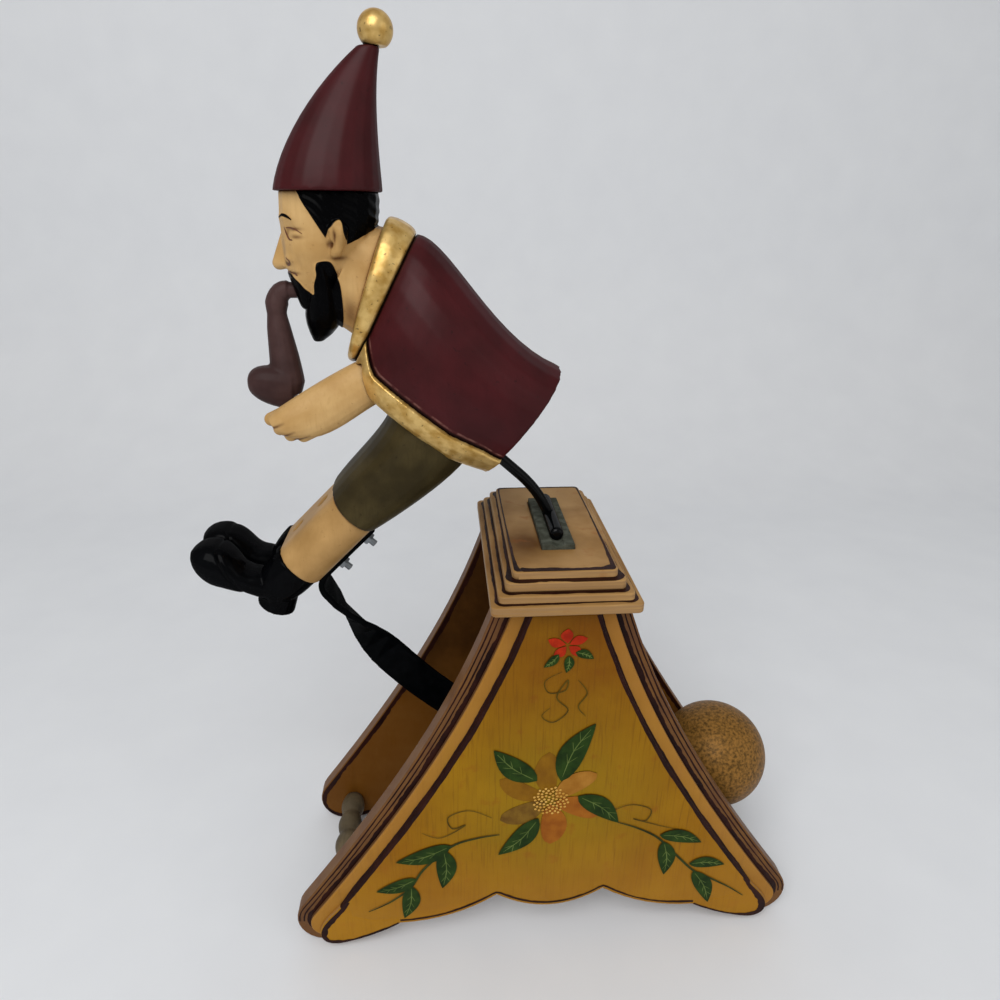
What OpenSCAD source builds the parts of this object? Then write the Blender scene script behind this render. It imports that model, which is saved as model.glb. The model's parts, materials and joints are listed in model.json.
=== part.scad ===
// Balance toy: a carved figure with a pipe rocks on a steel bar above a painted stand.
// A twisted steel strap runs from the calves, between the panels, to a weighted ball.
// X runs along the stand, the figure faces -X, +Y is the far side and the floor is at Z = 0.

/* [Stand panels] */
// Clear space between the two panels
panel_gap = 77; // [72:1:100]
// Thickness of a panel over its raised field
panel_t = 16.5; // [14:0.5:24]
// Height of the panels up to the cap
panel_h = 219; // [205:1:240]
// Width of a panel under the cap
panel_top_w = 62; // [56:1:72]
// Distance between the middles of the two foot lobes
foot_span = 250; // [230:1:280]
// Radius of a foot lobe
foot_r = 17; // [16:0.5:20]
// Depth of the flat on which a foot lobe stands
foot_flat = 0.6; // [0.3:0.1:1.5]
// Width of the outer strip of the moulding
strip_w = 8; // [5:0.5:9]
// Width of the bead between the strip and the field
bead_w = 7; // [4:0.5:7.5]
// Depth of the strip below the field
strip_drop = 6; // [4:0.5:8]
// Depth of the bead below the field
bead_drop = 2.5; // [1:0.5:3.5]

/* [Apron] */
// Distance between the two cusps
cusp_span = 60; // [50:1:70]
// Height of the cusps above the floor
cusp_z = 31; // [24:0.5:40]
// How far the middle lobe hangs below the cusps
mid_lobe_drop = 10.5; // [6:0.5:14]
// Distance between the notches beside the feet
notch_span = 168; // [150:1:180]
// Height of the notches above the floor
notch_z = 13.5; // [10:0.5:18]
// How far a side lobe bulges below a straight line
side_lobe_bulge = 4.7; // [2:0.1:7]
// Width of the plain edge under the bead and the field
apron_edge = 3; // [1.5:0.5:5]

/* [Cap] */
// How far the cap stands out past the faces of the panels
cap_overhang = 8.5; // [5:0.5:14]
// How far the cap stands out past the sides of the panels
cap_side = 4; // [2:0.5:8]
// Height of the lower board
cap_base_h = 8.5; // [6:0.5:14]
// Height of the upper board
cap_top_h = 8.5; // [6:0.5:14]
// Width of each step from tier to tier
cap_step = 3.5; // [2:0.25:4]
// Radius of the corners of the tiers
cap_corner_r = 3; // [1:0.5:6]
// Height of the lower tier of each board
cap_tier_h = 5; // [3:0.25:5.5]
// Diameter of the dowels between the cap and the panels
cap_dowel_d = 6; // [4:0.5:7]
// Length of the dowels between the cap and the panels
cap_dowel_l = 22; // [16:1:30]
// Distance between the two dowels of a panel
cap_dowel_span = 36; // [20:1:40]

/* [Stretchers] */
// Distance between the two stretchers
stretcher_span = 240; // [225:1:256]
// Height of the stretchers above the floor
stretcher_z = 17; // [15:0.5:19]
// Diameter of a stretcher over its rings
stretcher_d = 15; // [12:0.5:18]
// Diameter of the necks between the rings
stretcher_neck_d = 11; // [10:0.5:11.5]
// Number of rings on a stretcher
stretcher_rings = 5; // [3:1:7]
// Diameter of the tenons
tenon_d = 8; // [6:0.5:9]
// Length of the tenons
tenon_l = 7; // [4:0.5:7.5]

/* [Pivot] */
// Width of the steel plate on the cap
plate_w = 16; // [13:0.5:24]
// Length of the steel plate
plate_l = 60; // [54:1:80]
// Thickness of the steel plate
plate_t = 3.5; // [3:0.25:5]
// How deep the plate is let into the cap
plate_inset = 1; // [0.5:0.25:2]
// Diameter of the cross bar
bar_d = 7; // [6:0.5:9]
// Length of the cross bar
bar_l = 48; // [36:1:53]
// Depth of the groove in which the cross bar rocks
groove_depth = 1.4; // [1:0.1:2]
// Diameter of the bent rod
rod_d = 5.5; // [4.5:0.5:7]
// Straight length of the rod above the cross bar
rod_lower = 8; // [5:0.5:14]
// Radius of the bend in the rod
rod_bend_r = 60; // [40:1:90]
// Angle of the bend in the rod
rod_bend = 20; // [10:1:25]
// Straight length of the rod below the rump
rod_upper = 15.5; // [10:0.5:24]
// Length of the rod inside the body
rod_socket = 28; // [20:1:30]
// Angle of the rod above the floor where it meets the cross bar
rod_angle = 62; // [58:1:68]

/* [Body] */
// Length of the body at the neck
body_neck_l = 61.5; // [56:0.5:66]
// Half width of the body at the neck
body_neck_half = 21; // [18:0.5:24]
// Half width of the body at the shoulders
body_mid_half = 36; // [32:0.5:37]
// Half width of the body at the hem of the cape
body_hem_half = 30; // [27:0.5:33]
// Thickness of the gilt trims
trim_t = 2.5; // [1.5:0.25:4]
// Width of the gilt trims
trim_w = 10.5; // [7:0.5:13]
// Thickness of the gilt collar at the throat
collar_front_t = 5; // [4:0.5:7]
// Thickness of the gilt collar at the nape
collar_back_t = 14; // [10:0.5:16]
// How far the collar swells past the body
collar_swell = 1.5; // [1:0.5:4]
// Diameter of the dowels inside the figure
peg_d = 7; // [5:0.5:8]

/* [Head] */
// Length of the head from brow to back under the hat
head_l = 41.4; // [37:0.2:46]
// Half width of the head
head_half = 18.5; // [16:0.5:21]
// Height of the flat top of the head above the middle of the collar
head_top = 37; // [35:0.5:42]
// Length of the nose below the bridge
nose_l = 11; // [9:0.5:14]
// How far the nose stands out
nose_out = 4.5; // [3:0.5:7]
// Height of an ear
ear_h = 15; // [10:0.5:18]
// Height of the hat
hat_h = 53.5; // [40:0.5:64]
// How far the hat stands out past the head
hat_brim = 2.2; // [1:0.1:3]
// How far the tip of the hat leans back
hat_lean = 1.5; // [0:0.5:4]
// Length of the tip of the hat
hat_tip_l = 9; // [7:0.5:11]
// Diameter of the gilt ball on the hat
hat_ball_d = 14.4; // [12:0.2:18]

/* [Arm and pipe] */
// Reach of the arm from the shoulder to the fingers
arm_reach = 49; // [44:0.5:54]
// Depth of the arm at the shoulder
arm_depth = 21; // [17:0.5:23]
// Half width of the arm
arm_half = 8; // [6:0.25:9]
// Distance of the arm from the middle of the figure
arm_y = 11; // [10:0.5:12]
// Diameter of the pipe where it enters the mouth
stem_d = 7; // [5:0.5:8]
// Length of the stem inside the mouth
stem_in = 8; // [5:0.5:10]
// Diameter of the bowl of the pipe
bowl_d = 18.5; // [15:0.5:19]

/* [Legs and boots] */
// Length of the shorts along their upper edge
shorts_l = 46; // [42:1:50]
// Depth of the shorts at the hem
hem_l = 30; // [27:0.5:34]
// Half width of the shorts
shorts_half = 27; // [25.5:0.5:29]
// Diameter of a leg
leg_d = 25; // [22:0.5:26]
// Length of the bare legs
leg_l = 40; // [34:0.5:46]
// Distance between the axes of the two legs
leg_pitch = 24; // [22:0.5:25]
// Diameter of the leg tenons
leg_peg_d = 12; // [8:0.5:14]
// Length of the leg tenons
leg_peg_l = 12; // [8:0.5:13]
// Length of a boot from heel to toe
boot_l = 54; // [50:0.5:57]
// Height of a boot from the cuff to the heel
boot_h = 28; // [26:0.5:32]
// Thickness of the toe of a boot
toe_t = 20; // [16:0.5:22]
// Width of a boot
boot_w = 23; // [21:0.25:23.5]

/* [Counterweight] */
// Width of the steel strap
strap_w = 20; // [16:0.5:22]
// Thickness of the steel strap
strap_t = 3; // [2:0.25:4]
// Length of the strap along the calves
strap_calf = 36; // [30:0.5:38]
// Radius of the bend below the heels
strap_bend_r = 9; // [7:0.5:12]
// Distance of the ball from the pivot along the floor
ball_x = 108; // [100:1:116]
// Drop of the ball below the pivot
ball_drop = 163; // [156:1:168]
// Diameter of the ball
ball_d = 62; // [54:1:68]
// Diameter of the iron core
core_d = 41.5; // [38:0.1:48]
// Diameter of the pin through the core
core_pin_d = 4; // [3:0.5:6]
// Diameter of the bolts through the legs
bolt_d = 3.5; // [3:0.25:4.5]
// Distance between the two bolts
bolt_pitch = 19; // [16:0.5:22]
// Distance of the upper bolt from the hem
bolt_start = 11; // [9:0.5:13]

/* [Hidden] */
$fn = 64;

// Clearances: glued pegs, the rocking bar, and pieces that only lie close
peg_fit = 0.05;
pivot_fit = 0.05;
loose = 0.3;
eps = 1;
// Reach of the blocks that cut a piece flat, past any piece of the figure
cutter = 120;

// Distance of the stand from the middle of the whole toy
stand_x = 18.5;
pivot_z = panel_h + cap_base_h + cap_top_h - plate_inset + plate_t - groove_depth + bar_d / 2;

ochre = "goldenrod";
skin = "burlywood";
maroon = "#4f1c24";
gilt = "#c79b45";
black = "#16161a";
steel = "#2b2b2d";
zinc = "silver";
beech = "tan";

// Points, directions and curves in the upright plane of the figure, as [x, z]
function dir(a) = [cos(a), sin(a)];
function left_of(a) = [-sin(a), cos(a)];
function xyz(p, y = 0) = [p[0], y, p[1]];
function bez(p, t) = len(p) == 1 ? p[0] : bez([for (i = [0:len(p) - 2]) p[i] * (1 - t) + p[i + 1] * t], t);
function bez_dir(p, t) =
    let (d = bez([for (i = [0:len(p) - 2]) p[i + 1] - p[i]], t)) atan2(d[1], d[0]);
function bow(p, q, sag, n) =
    let (side = left_of(atan2(q[1] - p[1], q[0] - p[0])))
    [for (i = [0:n]) p + (q - p) * i / n + side * sag * 4 * (i / n) * (1 - i / n)];
function middle(points) = [for (p = points) 1 / len(points)] * points;
function reversed(list) = [for (i = [len(list) - 1:-1:0]) list[i]];
function flat_power(v, e) = sign(v) * pow(abs(v), e);
function smooth(t) = let (s = min(max(t, 0), 1)) s * s * (3 - 2 * s);

// One section of a carved piece: a rounded ring between its front and back points
function ring(front, back, half, y, sides, power = 2.3) = [
    for (i = [0:sides - 1])
        let (c = flat_power(cos(360 * i / sides), 2 / power))
        let (s = flat_power(sin(360 * i / sides), 2 / power))
        xyz((front + back) / 2 + (front - back) / 2 * c, y + half * s)
];

// Closed skin over a row of rings that all have the same number of points
// The faces turn over where the rings run against their own direction of travel
module skin_over(rings) {
    n = len(rings[0]);
    last = (len(rings) - 1) * n;
    points = [for (r = rings) each r];
    walls = [
        for (k = [0:len(rings) - 2])
            for (i = [0:n - 1])
                let (a = k * n + i, b = k * n + (i + 1) % n)
                each [[a, b + n, b], [a, a + n, b + n]]
    ];
    start = [for (i = [0:n - 1]) i];
    end = [for (i = [n - 1:-1:0]) last + i];
    faces = concat(walls, [start, end]);
    travel = middle(rings[1]) - middle(rings[0]);
    turn = cross(rings[0][0] - middle(rings[0]), rings[0][1] - middle(rings[0]));
    polyhedron(points, travel * turn > 0 ? faces : [for (f = faces) reversed(f)], convexity = 6);
}

// Carved piece between a front and a back edge curve, with a curve of half widths
module carve(front, back, half, y = [0], steps = 12, sides = 20) {
    skin_over([
        for (k = [0:steps])
            let (t = k / steps)
            ring(bez(front, t), bez(back, t), bez(half, t), bez(y, t), sides)
    ]);
}

// Sets a piece that is built along +Z onto a point, along a direction in the upright plane
module along(p, a, y = 0) {
    translate(xyz(p, y))
        rotate([0, 90 - a, 0])
            children();
}

module peg(d, l) {
    translate([0, 0, -l / 2])
        cylinder(d = d, h = l);
}

module on_stand() {
    translate([stand_x, 0, 0])
        children();
}

module on_pivot() {
    translate([stand_x, 0, pivot_z])
        children();
}

// Stand

foot = [foot_span / 2, foot_r - foot_flat];
side_turn = 36;
side_end = foot + foot_r * dir(side_turn);
side_top = [panel_top_w / 2, panel_h];
// Pull of the flared side at its top, and at the foot
side_flare = [19, -59];
side_pull = 93;
side_curve = [side_top, side_top + side_flare, side_end + side_pull * dir(90 + side_turn), side_end];
side_steps = 16;
foot_steps = 10;
lobe_steps = 8;
// How far the underside of a foot bows up, in depths of its flat
foot_bow = 4;

// Right half of the outline, drawn in by inset along the side and the foot and by lift at the apron
function panel_half(inset, lift) =
    let (toe = foot - [0, foot_r - inset])
    let (notch = [notch_span / 2, notch_z + lift])
    let (cusp = [cusp_span / 2, cusp_z + lift])
    concat(
        [for (i = [0:side_steps])
            let (t = i / side_steps)
            bez(side_curve, t) + inset * left_of(bez_dir(side_curve, t)) * -1],
        [for (i = [1:foot_steps])
            foot + (foot_r - inset) * dir(side_turn - i / foot_steps * (90 + side_turn))],
        bow(toe, notch, foot_flat * foot_bow * (1 - inset / foot_r), lobe_steps),
        bow(notch, cusp, side_lobe_bulge, lobe_steps),
        [for (i = [1:lobe_steps])
            let (t = 1 - i / lobe_steps)
            [cusp[0] * t, cusp[1] - mid_lobe_drop * (1 - t * t)]]
    );

function panel_outline(inset, lift) =
    let (half = [for (p = panel_half(inset, lift)) [p[0], max(p[1], 0)]])
    concat(half, [for (i = [len(half) - 2:-1:0]) [-half[i][0], half[i][1]]]);

// A layer of a panel, from the inner face out to a height
module panel_layer(height, inset, lift) {
    translate([0, -panel_gap / 2, 0])
        rotate([90, 0, 0])
            linear_extrude(height)
                polygon([for (p = panel_outline(inset, lift)) [p[0], min(p[1], panel_h)]]);
}

panel_y = panel_gap / 2 + (panel_t - strip_drop) / 2;

module near_panel() {
    difference() {
        union() {
            panel_layer(panel_t - strip_drop, 0, 0);
            panel_layer(panel_t - bead_drop, strip_w, apron_edge);
            panel_layer(panel_t, strip_w + bead_w, apron_edge);
        }
        for (side = [-1, 1]) {
            translate([side * stretcher_span / 2, -panel_gap / 2 + eps, stretcher_z])
                rotate([90, 0, 0])
                    cylinder(d = tenon_d + 2 * peg_fit, h = tenon_l + loose + eps);
        }
        dowel_places()
            peg(cap_dowel_d + 2 * peg_fit, cap_dowel_l + 2 * loose);
    }
}

module front_panel() {
    color(ochre)
        on_stand()
            near_panel();
}

module back_panel() {
    color(ochre)
        on_stand()
            mirror([0, 1, 0])
                near_panel();
}

// Turned stretcher along Y: coves between rings, with a tenon at each end
cove_steps = 8;

module stretcher(side) {
    pitch = panel_gap / stretcher_rings;
    cove = [
        for (k = [0:stretcher_rings - 1])
            for (i = [0:cove_steps - 1])
                let (t = i / cove_steps)
                [(stretcher_neck_d + (stretcher_d - stretcher_neck_d) * sin(180 * t)) / 2, (k + t) * pitch]
    ];
    profile = concat(
        [[0, -tenon_l], [tenon_d / 2, -tenon_l], [tenon_d / 2, 0]],
        cove,
        [[stretcher_neck_d / 2, panel_gap], [tenon_d / 2, panel_gap]],
        [[tenon_d / 2, panel_gap + tenon_l], [0, panel_gap + tenon_l]]
    );
    translate([side * stretcher_span / 2, -panel_gap / 2, stretcher_z])
        rotate([-90, 0, 0])
            rotate_extrude()
                polygon(profile);
}

module left_stretcher() {
    color("rosybrown")
        on_stand()
            stretcher(-1);
}

module right_stretcher() {
    color("rosybrown")
        on_stand()
            stretcher(1);
}

cap_w = panel_top_w + 2 * cap_side;
cap_d = panel_gap + 2 * panel_t + 2 * cap_overhang;
// How far the dowels reach into the cap, short of its upper face
dowel_cover = 2;
dowel_up = cap_base_h - dowel_cover;

// Tier of the cap, drawn in by a number of steps
module tier(steps, z, h) {
    w = cap_w - 2 * steps * cap_step;
    d = cap_d - 2 * steps * cap_step;
    translate([0, 0, z])
        linear_extrude(h) {
            square([w - 2 * cap_corner_r, d], center = true);
            square([w, d - 2 * cap_corner_r], center = true);
            for (sx = [-1, 1])
                for (sy = [-1, 1])
                    translate([sx * (w / 2 - cap_corner_r), sy * (d / 2 - cap_corner_r)])
                        circle(cap_corner_r);
        }
}

module dowel_places() {
    for (sx = [-1, 1])
        for (sy = [-1, 1])
            translate([sx * cap_dowel_span / 2, sy * panel_y, panel_h + dowel_up - cap_dowel_l / 2])
                children();
}

module cap_base() {
    color(ochre)
        on_stand()
            difference() {
                union() {
                    tier(0, panel_h, cap_tier_h);
                    tier(1, panel_h, cap_base_h);
                }
                dowel_places()
                    peg(cap_dowel_d + 2 * peg_fit, cap_dowel_l + 2 * loose);
            }
}

module cap_top() {
    z = panel_h + cap_base_h;
    color(ochre)
        on_stand()
            difference() {
                union() {
                    tier(2, z, cap_tier_h);
                    tier(3, z, cap_top_h);
                }
                translate([0, 0, z + cap_top_h - plate_inset + eps])
                    cube([plate_w + 2 * peg_fit, plate_l + 2 * peg_fit, 2 * eps], center = true);
            }
}

module cap_dowels() {
    color(beech)
        on_stand()
            dowel_places()
                peg(cap_dowel_d, cap_dowel_l);
}

// Steel plate with the round groove that carries the cross bar
module pivot_plate() {
    color(steel)
        on_pivot()
            difference() {
                translate([0, 0, groove_depth - bar_d / 2 - plate_t / 2])
                    cube([plate_w, plate_l, plate_t], center = true);
                rotate([90, 0, 0])
                    peg(bar_d + 2 * pivot_fit, plate_l + 2 * eps);
            }
}

// Rocker: cross bar and bent rod

module pivot_bar() {
    color(steel)
        on_pivot()
            rotate([90, 0, 0])
                peg(bar_d, bar_l);
}

rod_out = 180 - rod_angle;
rod_in = rod_out + rod_bend;
rod_bend_start = rod_lower * dir(rod_out);
rod_bend_c = rod_bend_start + rod_bend_r * left_of(rod_out);
rod_bend_end = rod_bend_c - rod_bend_r * left_of(rod_in);
// Point where the rod enters the body: the root of everything that is carved
rump = rod_bend_end + rod_upper * dir(rod_in);

rod_steps = 8;
rod_sides = 24;
// Run-out of the socket below the rump, through the curve of the hem
rod_lead = 3;

function rod_ring(p, a) =
    let (across = rod_d / 2 * left_of(a))
    ring(p - across, p + across, rod_d / 2, 0, rod_sides, 2);

module pivot_rod() {
    color(steel)
        on_pivot()
            difference() {
                skin_over(concat(
                    [rod_ring([0, 0], rod_out)],
                    [for (i = [0:rod_steps])
                        let (a = rod_out + rod_bend * i / rod_steps)
                        rod_ring(rod_bend_c - rod_bend_r * left_of(a), a)],
                    [rod_ring(rump + rod_socket * dir(rod_in), rod_in)]
                ));
                rotate([90, 0, 0])
                    peg(bar_d, bar_l);
            }
}

// Body: a trunk in a cape, carved between its front and back edges
// Its rear face takes the rod, and its neck face carries the collar

neck_lean = 62.4;
hem_front = rump + [-8, -4];
hem_back = rump + [30, 44];
neck_front = rump + [-65, 48.5];
neck_back = neck_front + body_neck_l * dir(neck_lean);
chest_pull = [3.5, -24.5];
belly_pull = [-26, 14];
shoulder_pull = [14.5, -0.5];
tail_pull = [-33.5, 13.5];
body_front = [neck_front, neck_front + chest_pull, hem_front + belly_pull, hem_front];
body_back = [neck_back, neck_back + shoulder_pull, hem_back + tail_pull, hem_back];
body_half = [body_neck_half, body_mid_half, body_mid_half, body_hem_half];
body_steps = 14;
body_sides = 24;

function body_ring(t, grow = 0) =
    let (a = bez(body_front, t), b = bez(body_back, t))
    let (out = (a - b) / norm(a - b) * grow)
    ring(a + out, b - out, bez(body_half, t) + grow, 0, body_sides, body_power);

// Flat under the belly on which the shorts are seated
seat_front = rump + [-57, 37];
seat_rear = rump + [-6, -3];
seat_angle = atan2(seat_rear[1] - seat_front[1], seat_rear[0] - seat_front[0]);
seat_out = seat_angle - 90;

// Shoulder flat on which the arm is seated, and the direction of the arm from it
shoulder = rump + [-56, 41.8];
arm_angle = 204;
arm_peg_l = 26;
// How far the arm swings outwards beside the trim
arm_flare = 1;

// Face of the collar under the head
collar_front = neck_front + collar_front_t * dir(neck_lean + 90);
collar_back = neck_back + collar_back_t * dir(neck_lean + 90);
collar_mid = (collar_front + collar_back) / 2;
collar_lean = atan2(collar_back[1] - collar_front[1], collar_back[0] - collar_front[0]);
collar_out = collar_lean + 90;
neck_peg_l = 40;

hip_peg_l = 26;
hip_peg_span = 24;
hip = (seat_front + seat_rear) / 2;

module body_skin(grow = 0) {
    skin_over([for (k = [0:body_steps]) body_ring(k / body_steps, grow)]);
}

// Everything below the seat
module seat_cut() {
    along(hip, seat_out)
        translate([-cutter / 2, -cutter / 2, 0])
            cube(cutter);
}

// Room in the cape for the root of the arm
module arm_room() {
    along(shoulder, arm_angle, -arm_y)
        translate([-arm_depth / 2 - loose, -arm_half - arm_flare - loose, 0])
            cube([arm_depth + 2 * loose, 2 * (arm_half + loose) + arm_flare, cutter]);
}

module hip_peg_places() {
    for (side = [-1, 1])
        along(hip, seat_out, side * hip_peg_span / 2)
            children();
}

module body() {
    color(maroon)
        on_pivot()
            difference() {
                body_skin();
                seat_cut();
                arm_room();
                along(shoulder, arm_angle, -arm_y)
                    peg(peg_d + 2 * peg_fit, arm_peg_l + 2 * loose);
                along(rump, rod_in)
                    translate([0, 0, -rod_lead])
                        cylinder(d = rod_d + 2 * peg_fit, h = rod_lead + rod_socket + loose);
                along(collar_mid, collar_out)
                    peg(peg_d + 2 * peg_fit, neck_peg_l + 2 * loose);
                hip_peg_places()
                    peg(peg_d + 2 * peg_fit, hip_peg_l + 2 * loose);
            }
}

// Collar: a swelling wedge on the neck face of the body, thick at the nape
module collar() {
    swell = 2 * collar_swell * dir(neck_lean);
    half = body_neck_half + 2 * collar_swell;
    color(gilt)
        on_pivot()
            difference() {
                carve(
                    [neck_front, neck_front - swell, collar_front - swell, collar_front],
                    [neck_back, neck_back + swell, collar_back + swell, collar_back],
                    [body_neck_half, half, half, body_neck_half],
                    steps = 6,
                    sides = 28
                );
                along(collar_mid, collar_out)
                    peg(peg_d + 2 * peg_fit, neck_peg_l + 2 * loose);
            }
}

// Trim: a band on the flank of the cape, from the edge of the seat inwards, one piece on each side
trim_lead = 3;
// Room between the trims and the facets of the flank
trim_seat = 0.15;
trim_steps = 20;
trim_rows = 3;
body_power = 2.3;

// Height of a point of the figure above the seat
function above_seat(p) = (hip - p) * dir(seat_out);

// Point on the flank of the body, at a share of the depth from its front edge to its back edge
function flank(t, share, grow) =
    let (a = bez(body_front, t), b = bez(body_back, t))
    let (out = (a - b) / norm(a - b) * grow)
    let (side = pow(1 - pow(abs(1 - 2 * share), body_power), 1 / body_power))
    xyz(a + out + (b - a - 2 * out) * share, (bez(body_half, t) + grow) * side);

// Share of the depth at which the flank starts: at the seat, or a little behind the front edge
function trim_start(t) =
    let (a = bez(body_front, t), b = bez(body_back, t))
    max(above_seat(a) / (above_seat(a) - above_seat(b)), trim_lead / norm(a - b));

function trim_row(t, grow) =
    let (depth = norm(bez(body_front, t) - bez(body_back, t)))
    [for (i = [0:trim_rows]) flank(t, trim_start(t) + trim_w / depth * i / trim_rows, grow)];

module trim() {
    difference() {
        skin_over([
            for (k = [0:trim_steps])
                concat(trim_row(k / trim_steps, trim_t), reversed(trim_row(k / trim_steps, trim_seat)))
        ]);
        seat_cut();
    }
}

module right_trim() {
    color(gilt)
        on_pivot()
            trim();
}

module left_trim() {
    color(gilt)
        on_pivot()
            difference() {
                mirror([0, 1, 0])
                    trim();
                arm_room();
            }
}

module neck_peg() {
    color(beech)
        on_pivot()
            along(collar_mid, collar_out)
                peg(peg_d, neck_peg_l);
}

// Head, seated on the collar, with its flat top under the hat

// Point in the head from which its features are placed
head_root = collar_mid + [3.3, 2.3];
crown = head_root + [3.4, head_top];
brow = crown - [head_l, 0];
chin = head_root + [-31, -9.5];
bridge = head_root + [-38.6, 19];
mouth = head_root + [-37.5, -3.5];
ear = head_root + [-13, 18];
nape = collar_back - 4 * dir(collar_lean);
throat = collar_front + 9 * dir(collar_lean);
neck_half = 15;
// Edge curves of the skull, the neck and the beard, from the top down or from the collar up
face_curve = [brow, brow + [-1.2, -17], chin + [-9, 14.5], chin];
skull_curve = [crown, crown + [1, -19], chin + [27, 17.5], chin + [9, 0]];
skull_half = [head_half, head_half + 1.5, head_half - 0.5, head_half / 2];
throat_curve = [throat, head_root + [-23, -14]];
nape_curve = [nape, head_root + [-3, 24]];
beard_front = [chin + [5, 18], chin + [4, 2], chin + [-1, -5], chin + [2.5, -16]];
beard_back = [chin + [13, 18], chin + [19, 2], chin + [18, -9], chin + [6, -16]];
beard_half = [head_half - 1, head_half, head_half / 2 + 3, 2.5];
// Radii of the nose: bridge, tip and wings, and how far the wings stand apart
bridge_r = 2;
nose_r = 3;
wing_y = 3;
// Radii of an ear: lobe and upper rim
lobe_r = 2;
rim_r = 4;
knob_fn = 16;

module head() {
    color(skin)
        on_pivot()
            difference() {
                union() {
                    carve(face_curve, skull_curve, skull_half, steps = 10);
                    carve(throat_curve, nape_curve, [neck_half, neck_half], steps = 3);
                    carve(beard_front, beard_back, beard_half, steps = 8);
                    hull() {
                        translate(xyz(bridge + [bridge_r / 2, 0]))
                            sphere(bridge_r, $fn = knob_fn);
                        translate(xyz(bridge + [bridge_r - nose_out, -nose_l]))
                            sphere(nose_r, $fn = knob_fn);
                        for (side = [-1, 1])
                            translate(xyz(bridge + [bridge_r, -nose_l], side * wing_y))
                                sphere(bridge_r, $fn = knob_fn);
                    }
                    for (side = [-1, 1])
                        hull() {
                            translate(xyz(ear + [-1, lobe_r - ear_h / 2], side * (head_half - lobe_r / 2)))
                                sphere(lobe_r, $fn = knob_fn);
                            translate(xyz(ear + [1, ear_h / 2 - rim_r], side * (head_half + lobe_r / 4)))
                                sphere(rim_r, $fn = knob_fn);
                        }
                }
                along(mouth, 180)
                    peg(stem_d + 2 * peg_fit, 2 * (stem_in + loose));
                along(collar_mid, collar_out)
                    peg(peg_d + 2 * peg_fit, neck_peg_l + 2 * loose);
                along(hat_mid, 90)
                    peg(peg_d + 2 * peg_fit, hat_peg_l + 2 * loose);
            }
}

hat_peg_l = 24;
hat_mid = (brow + crown) / 2;
hat_front = brow + [-hat_brim, 0];
hat_back = crown + [hat_brim, 0];
hat_tip = hat_back + [hat_lean - hat_tip_l, hat_h];
hat_front_curve = [hat_front, hat_front + [4, 18], hat_tip + [-18, -14], hat_tip];
hat_back_curve = [hat_back, hat_back + [-1, 18], hat_back + [-2, hat_h - 16], hat_tip + [hat_tip_l, 0]];
hat_half = [head_half + 2 * hat_brim, head_half + hat_brim, head_half / 2, hat_tip_l / 2];
hat_ball_at = hat_tip + [hat_tip_l / 2, 0];

module hat() {
    color(maroon)
        on_pivot()
            difference() {
                carve(hat_front_curve, hat_back_curve, hat_half, steps = 12, sides = 24);
                along(hat_mid, 90)
                    peg(peg_d + 2 * peg_fit, hat_peg_l + 2 * loose);
                along(hat_ball_at, 90)
                    peg(ball_peg_d + 2 * peg_fit, 2 * (ball_peg_l + loose));
            }
}

module hat_peg() {
    color(beech)
        on_pivot()
            along(hat_mid, 90)
                peg(peg_d, hat_peg_l);
}

// Gilt ball with a flat underside and a peg that enters the tip of the hat
ball_peg_d = 3;
ball_peg_l = 7;
// Middle of the ball: how far behind its peg, and how many radii above its flat
hat_ball_shift = 3;
hat_ball_seat = 0.8;

module hat_ball() {
    r = hat_ball_d / 2;
    color(gilt)
        on_pivot()
            along(hat_ball_at, 90) {
                intersection() {
                    translate([hat_ball_shift, 0, r * hat_ball_seat])
                        sphere(r);
                    cylinder(r = cutter, h = cutter);
                }
                translate([0, 0, -ball_peg_l])
                    cylinder(d = ball_peg_d, h = ball_peg_l + eps);
            }
}

// Arm: a bare forearm and closed hand, seated on the shoulder flat
hand = shoulder + arm_reach * dir(arm_angle);
palm_y = 14;

arm_root = arm_depth / 2 * left_of(arm_angle);
arm_top = [
    shoulder - arm_root, shoulder - arm_root + 20 * dir(arm_angle), hand + [10, 15], hand + [-3, 6]
];
arm_under = [
    shoulder + arm_root, shoulder + arm_root + 18 * dir(arm_angle), hand + [22, -9], hand + [3, -3]
];
arm_halves = [arm_half, arm_half, arm_half + 1, arm_half - 1];
arm_ys = [-arm_y, -arm_y - 2, -palm_y - arm_half - 5, -palm_y - arm_half];
// Lap of the peg inside the root of the arm
arm_peg_lap = 4;

module arm() {
    color(skin)
        on_pivot()
            union() {
                carve(arm_top, arm_under, arm_halves, arm_ys, steps = 12, sides = 20);
                along(shoulder, arm_angle, -arm_y)
                    translate([0, 0, -arm_peg_l / 2])
                        cylinder(d = peg_d, h = arm_peg_l / 2 + arm_peg_lap);
            }
}

// Pipe: a knobbed stem bends down from the mouth and swells to a round bowl beside the palm
pipe_base = mouth + [-4, -45.5];
pipe_path = [mouth + [-1, 0], mouth + [-11, 0], mouth + [-6, -18], mouth + [-4, -34], pipe_base];
pipe_y = [0, 0, 0, -3, -6];
pipe_radii = [[0, 4.3], [0.15, 4.6], [0.25, 5.2], [0.36, 4.3], [0.45, 5.2], [0.7, 6.8], [0.9, 7.8], [1, 6]];
pipe_steps = 20;
pipe_sides = 16;
stem_lap = 3;
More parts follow.
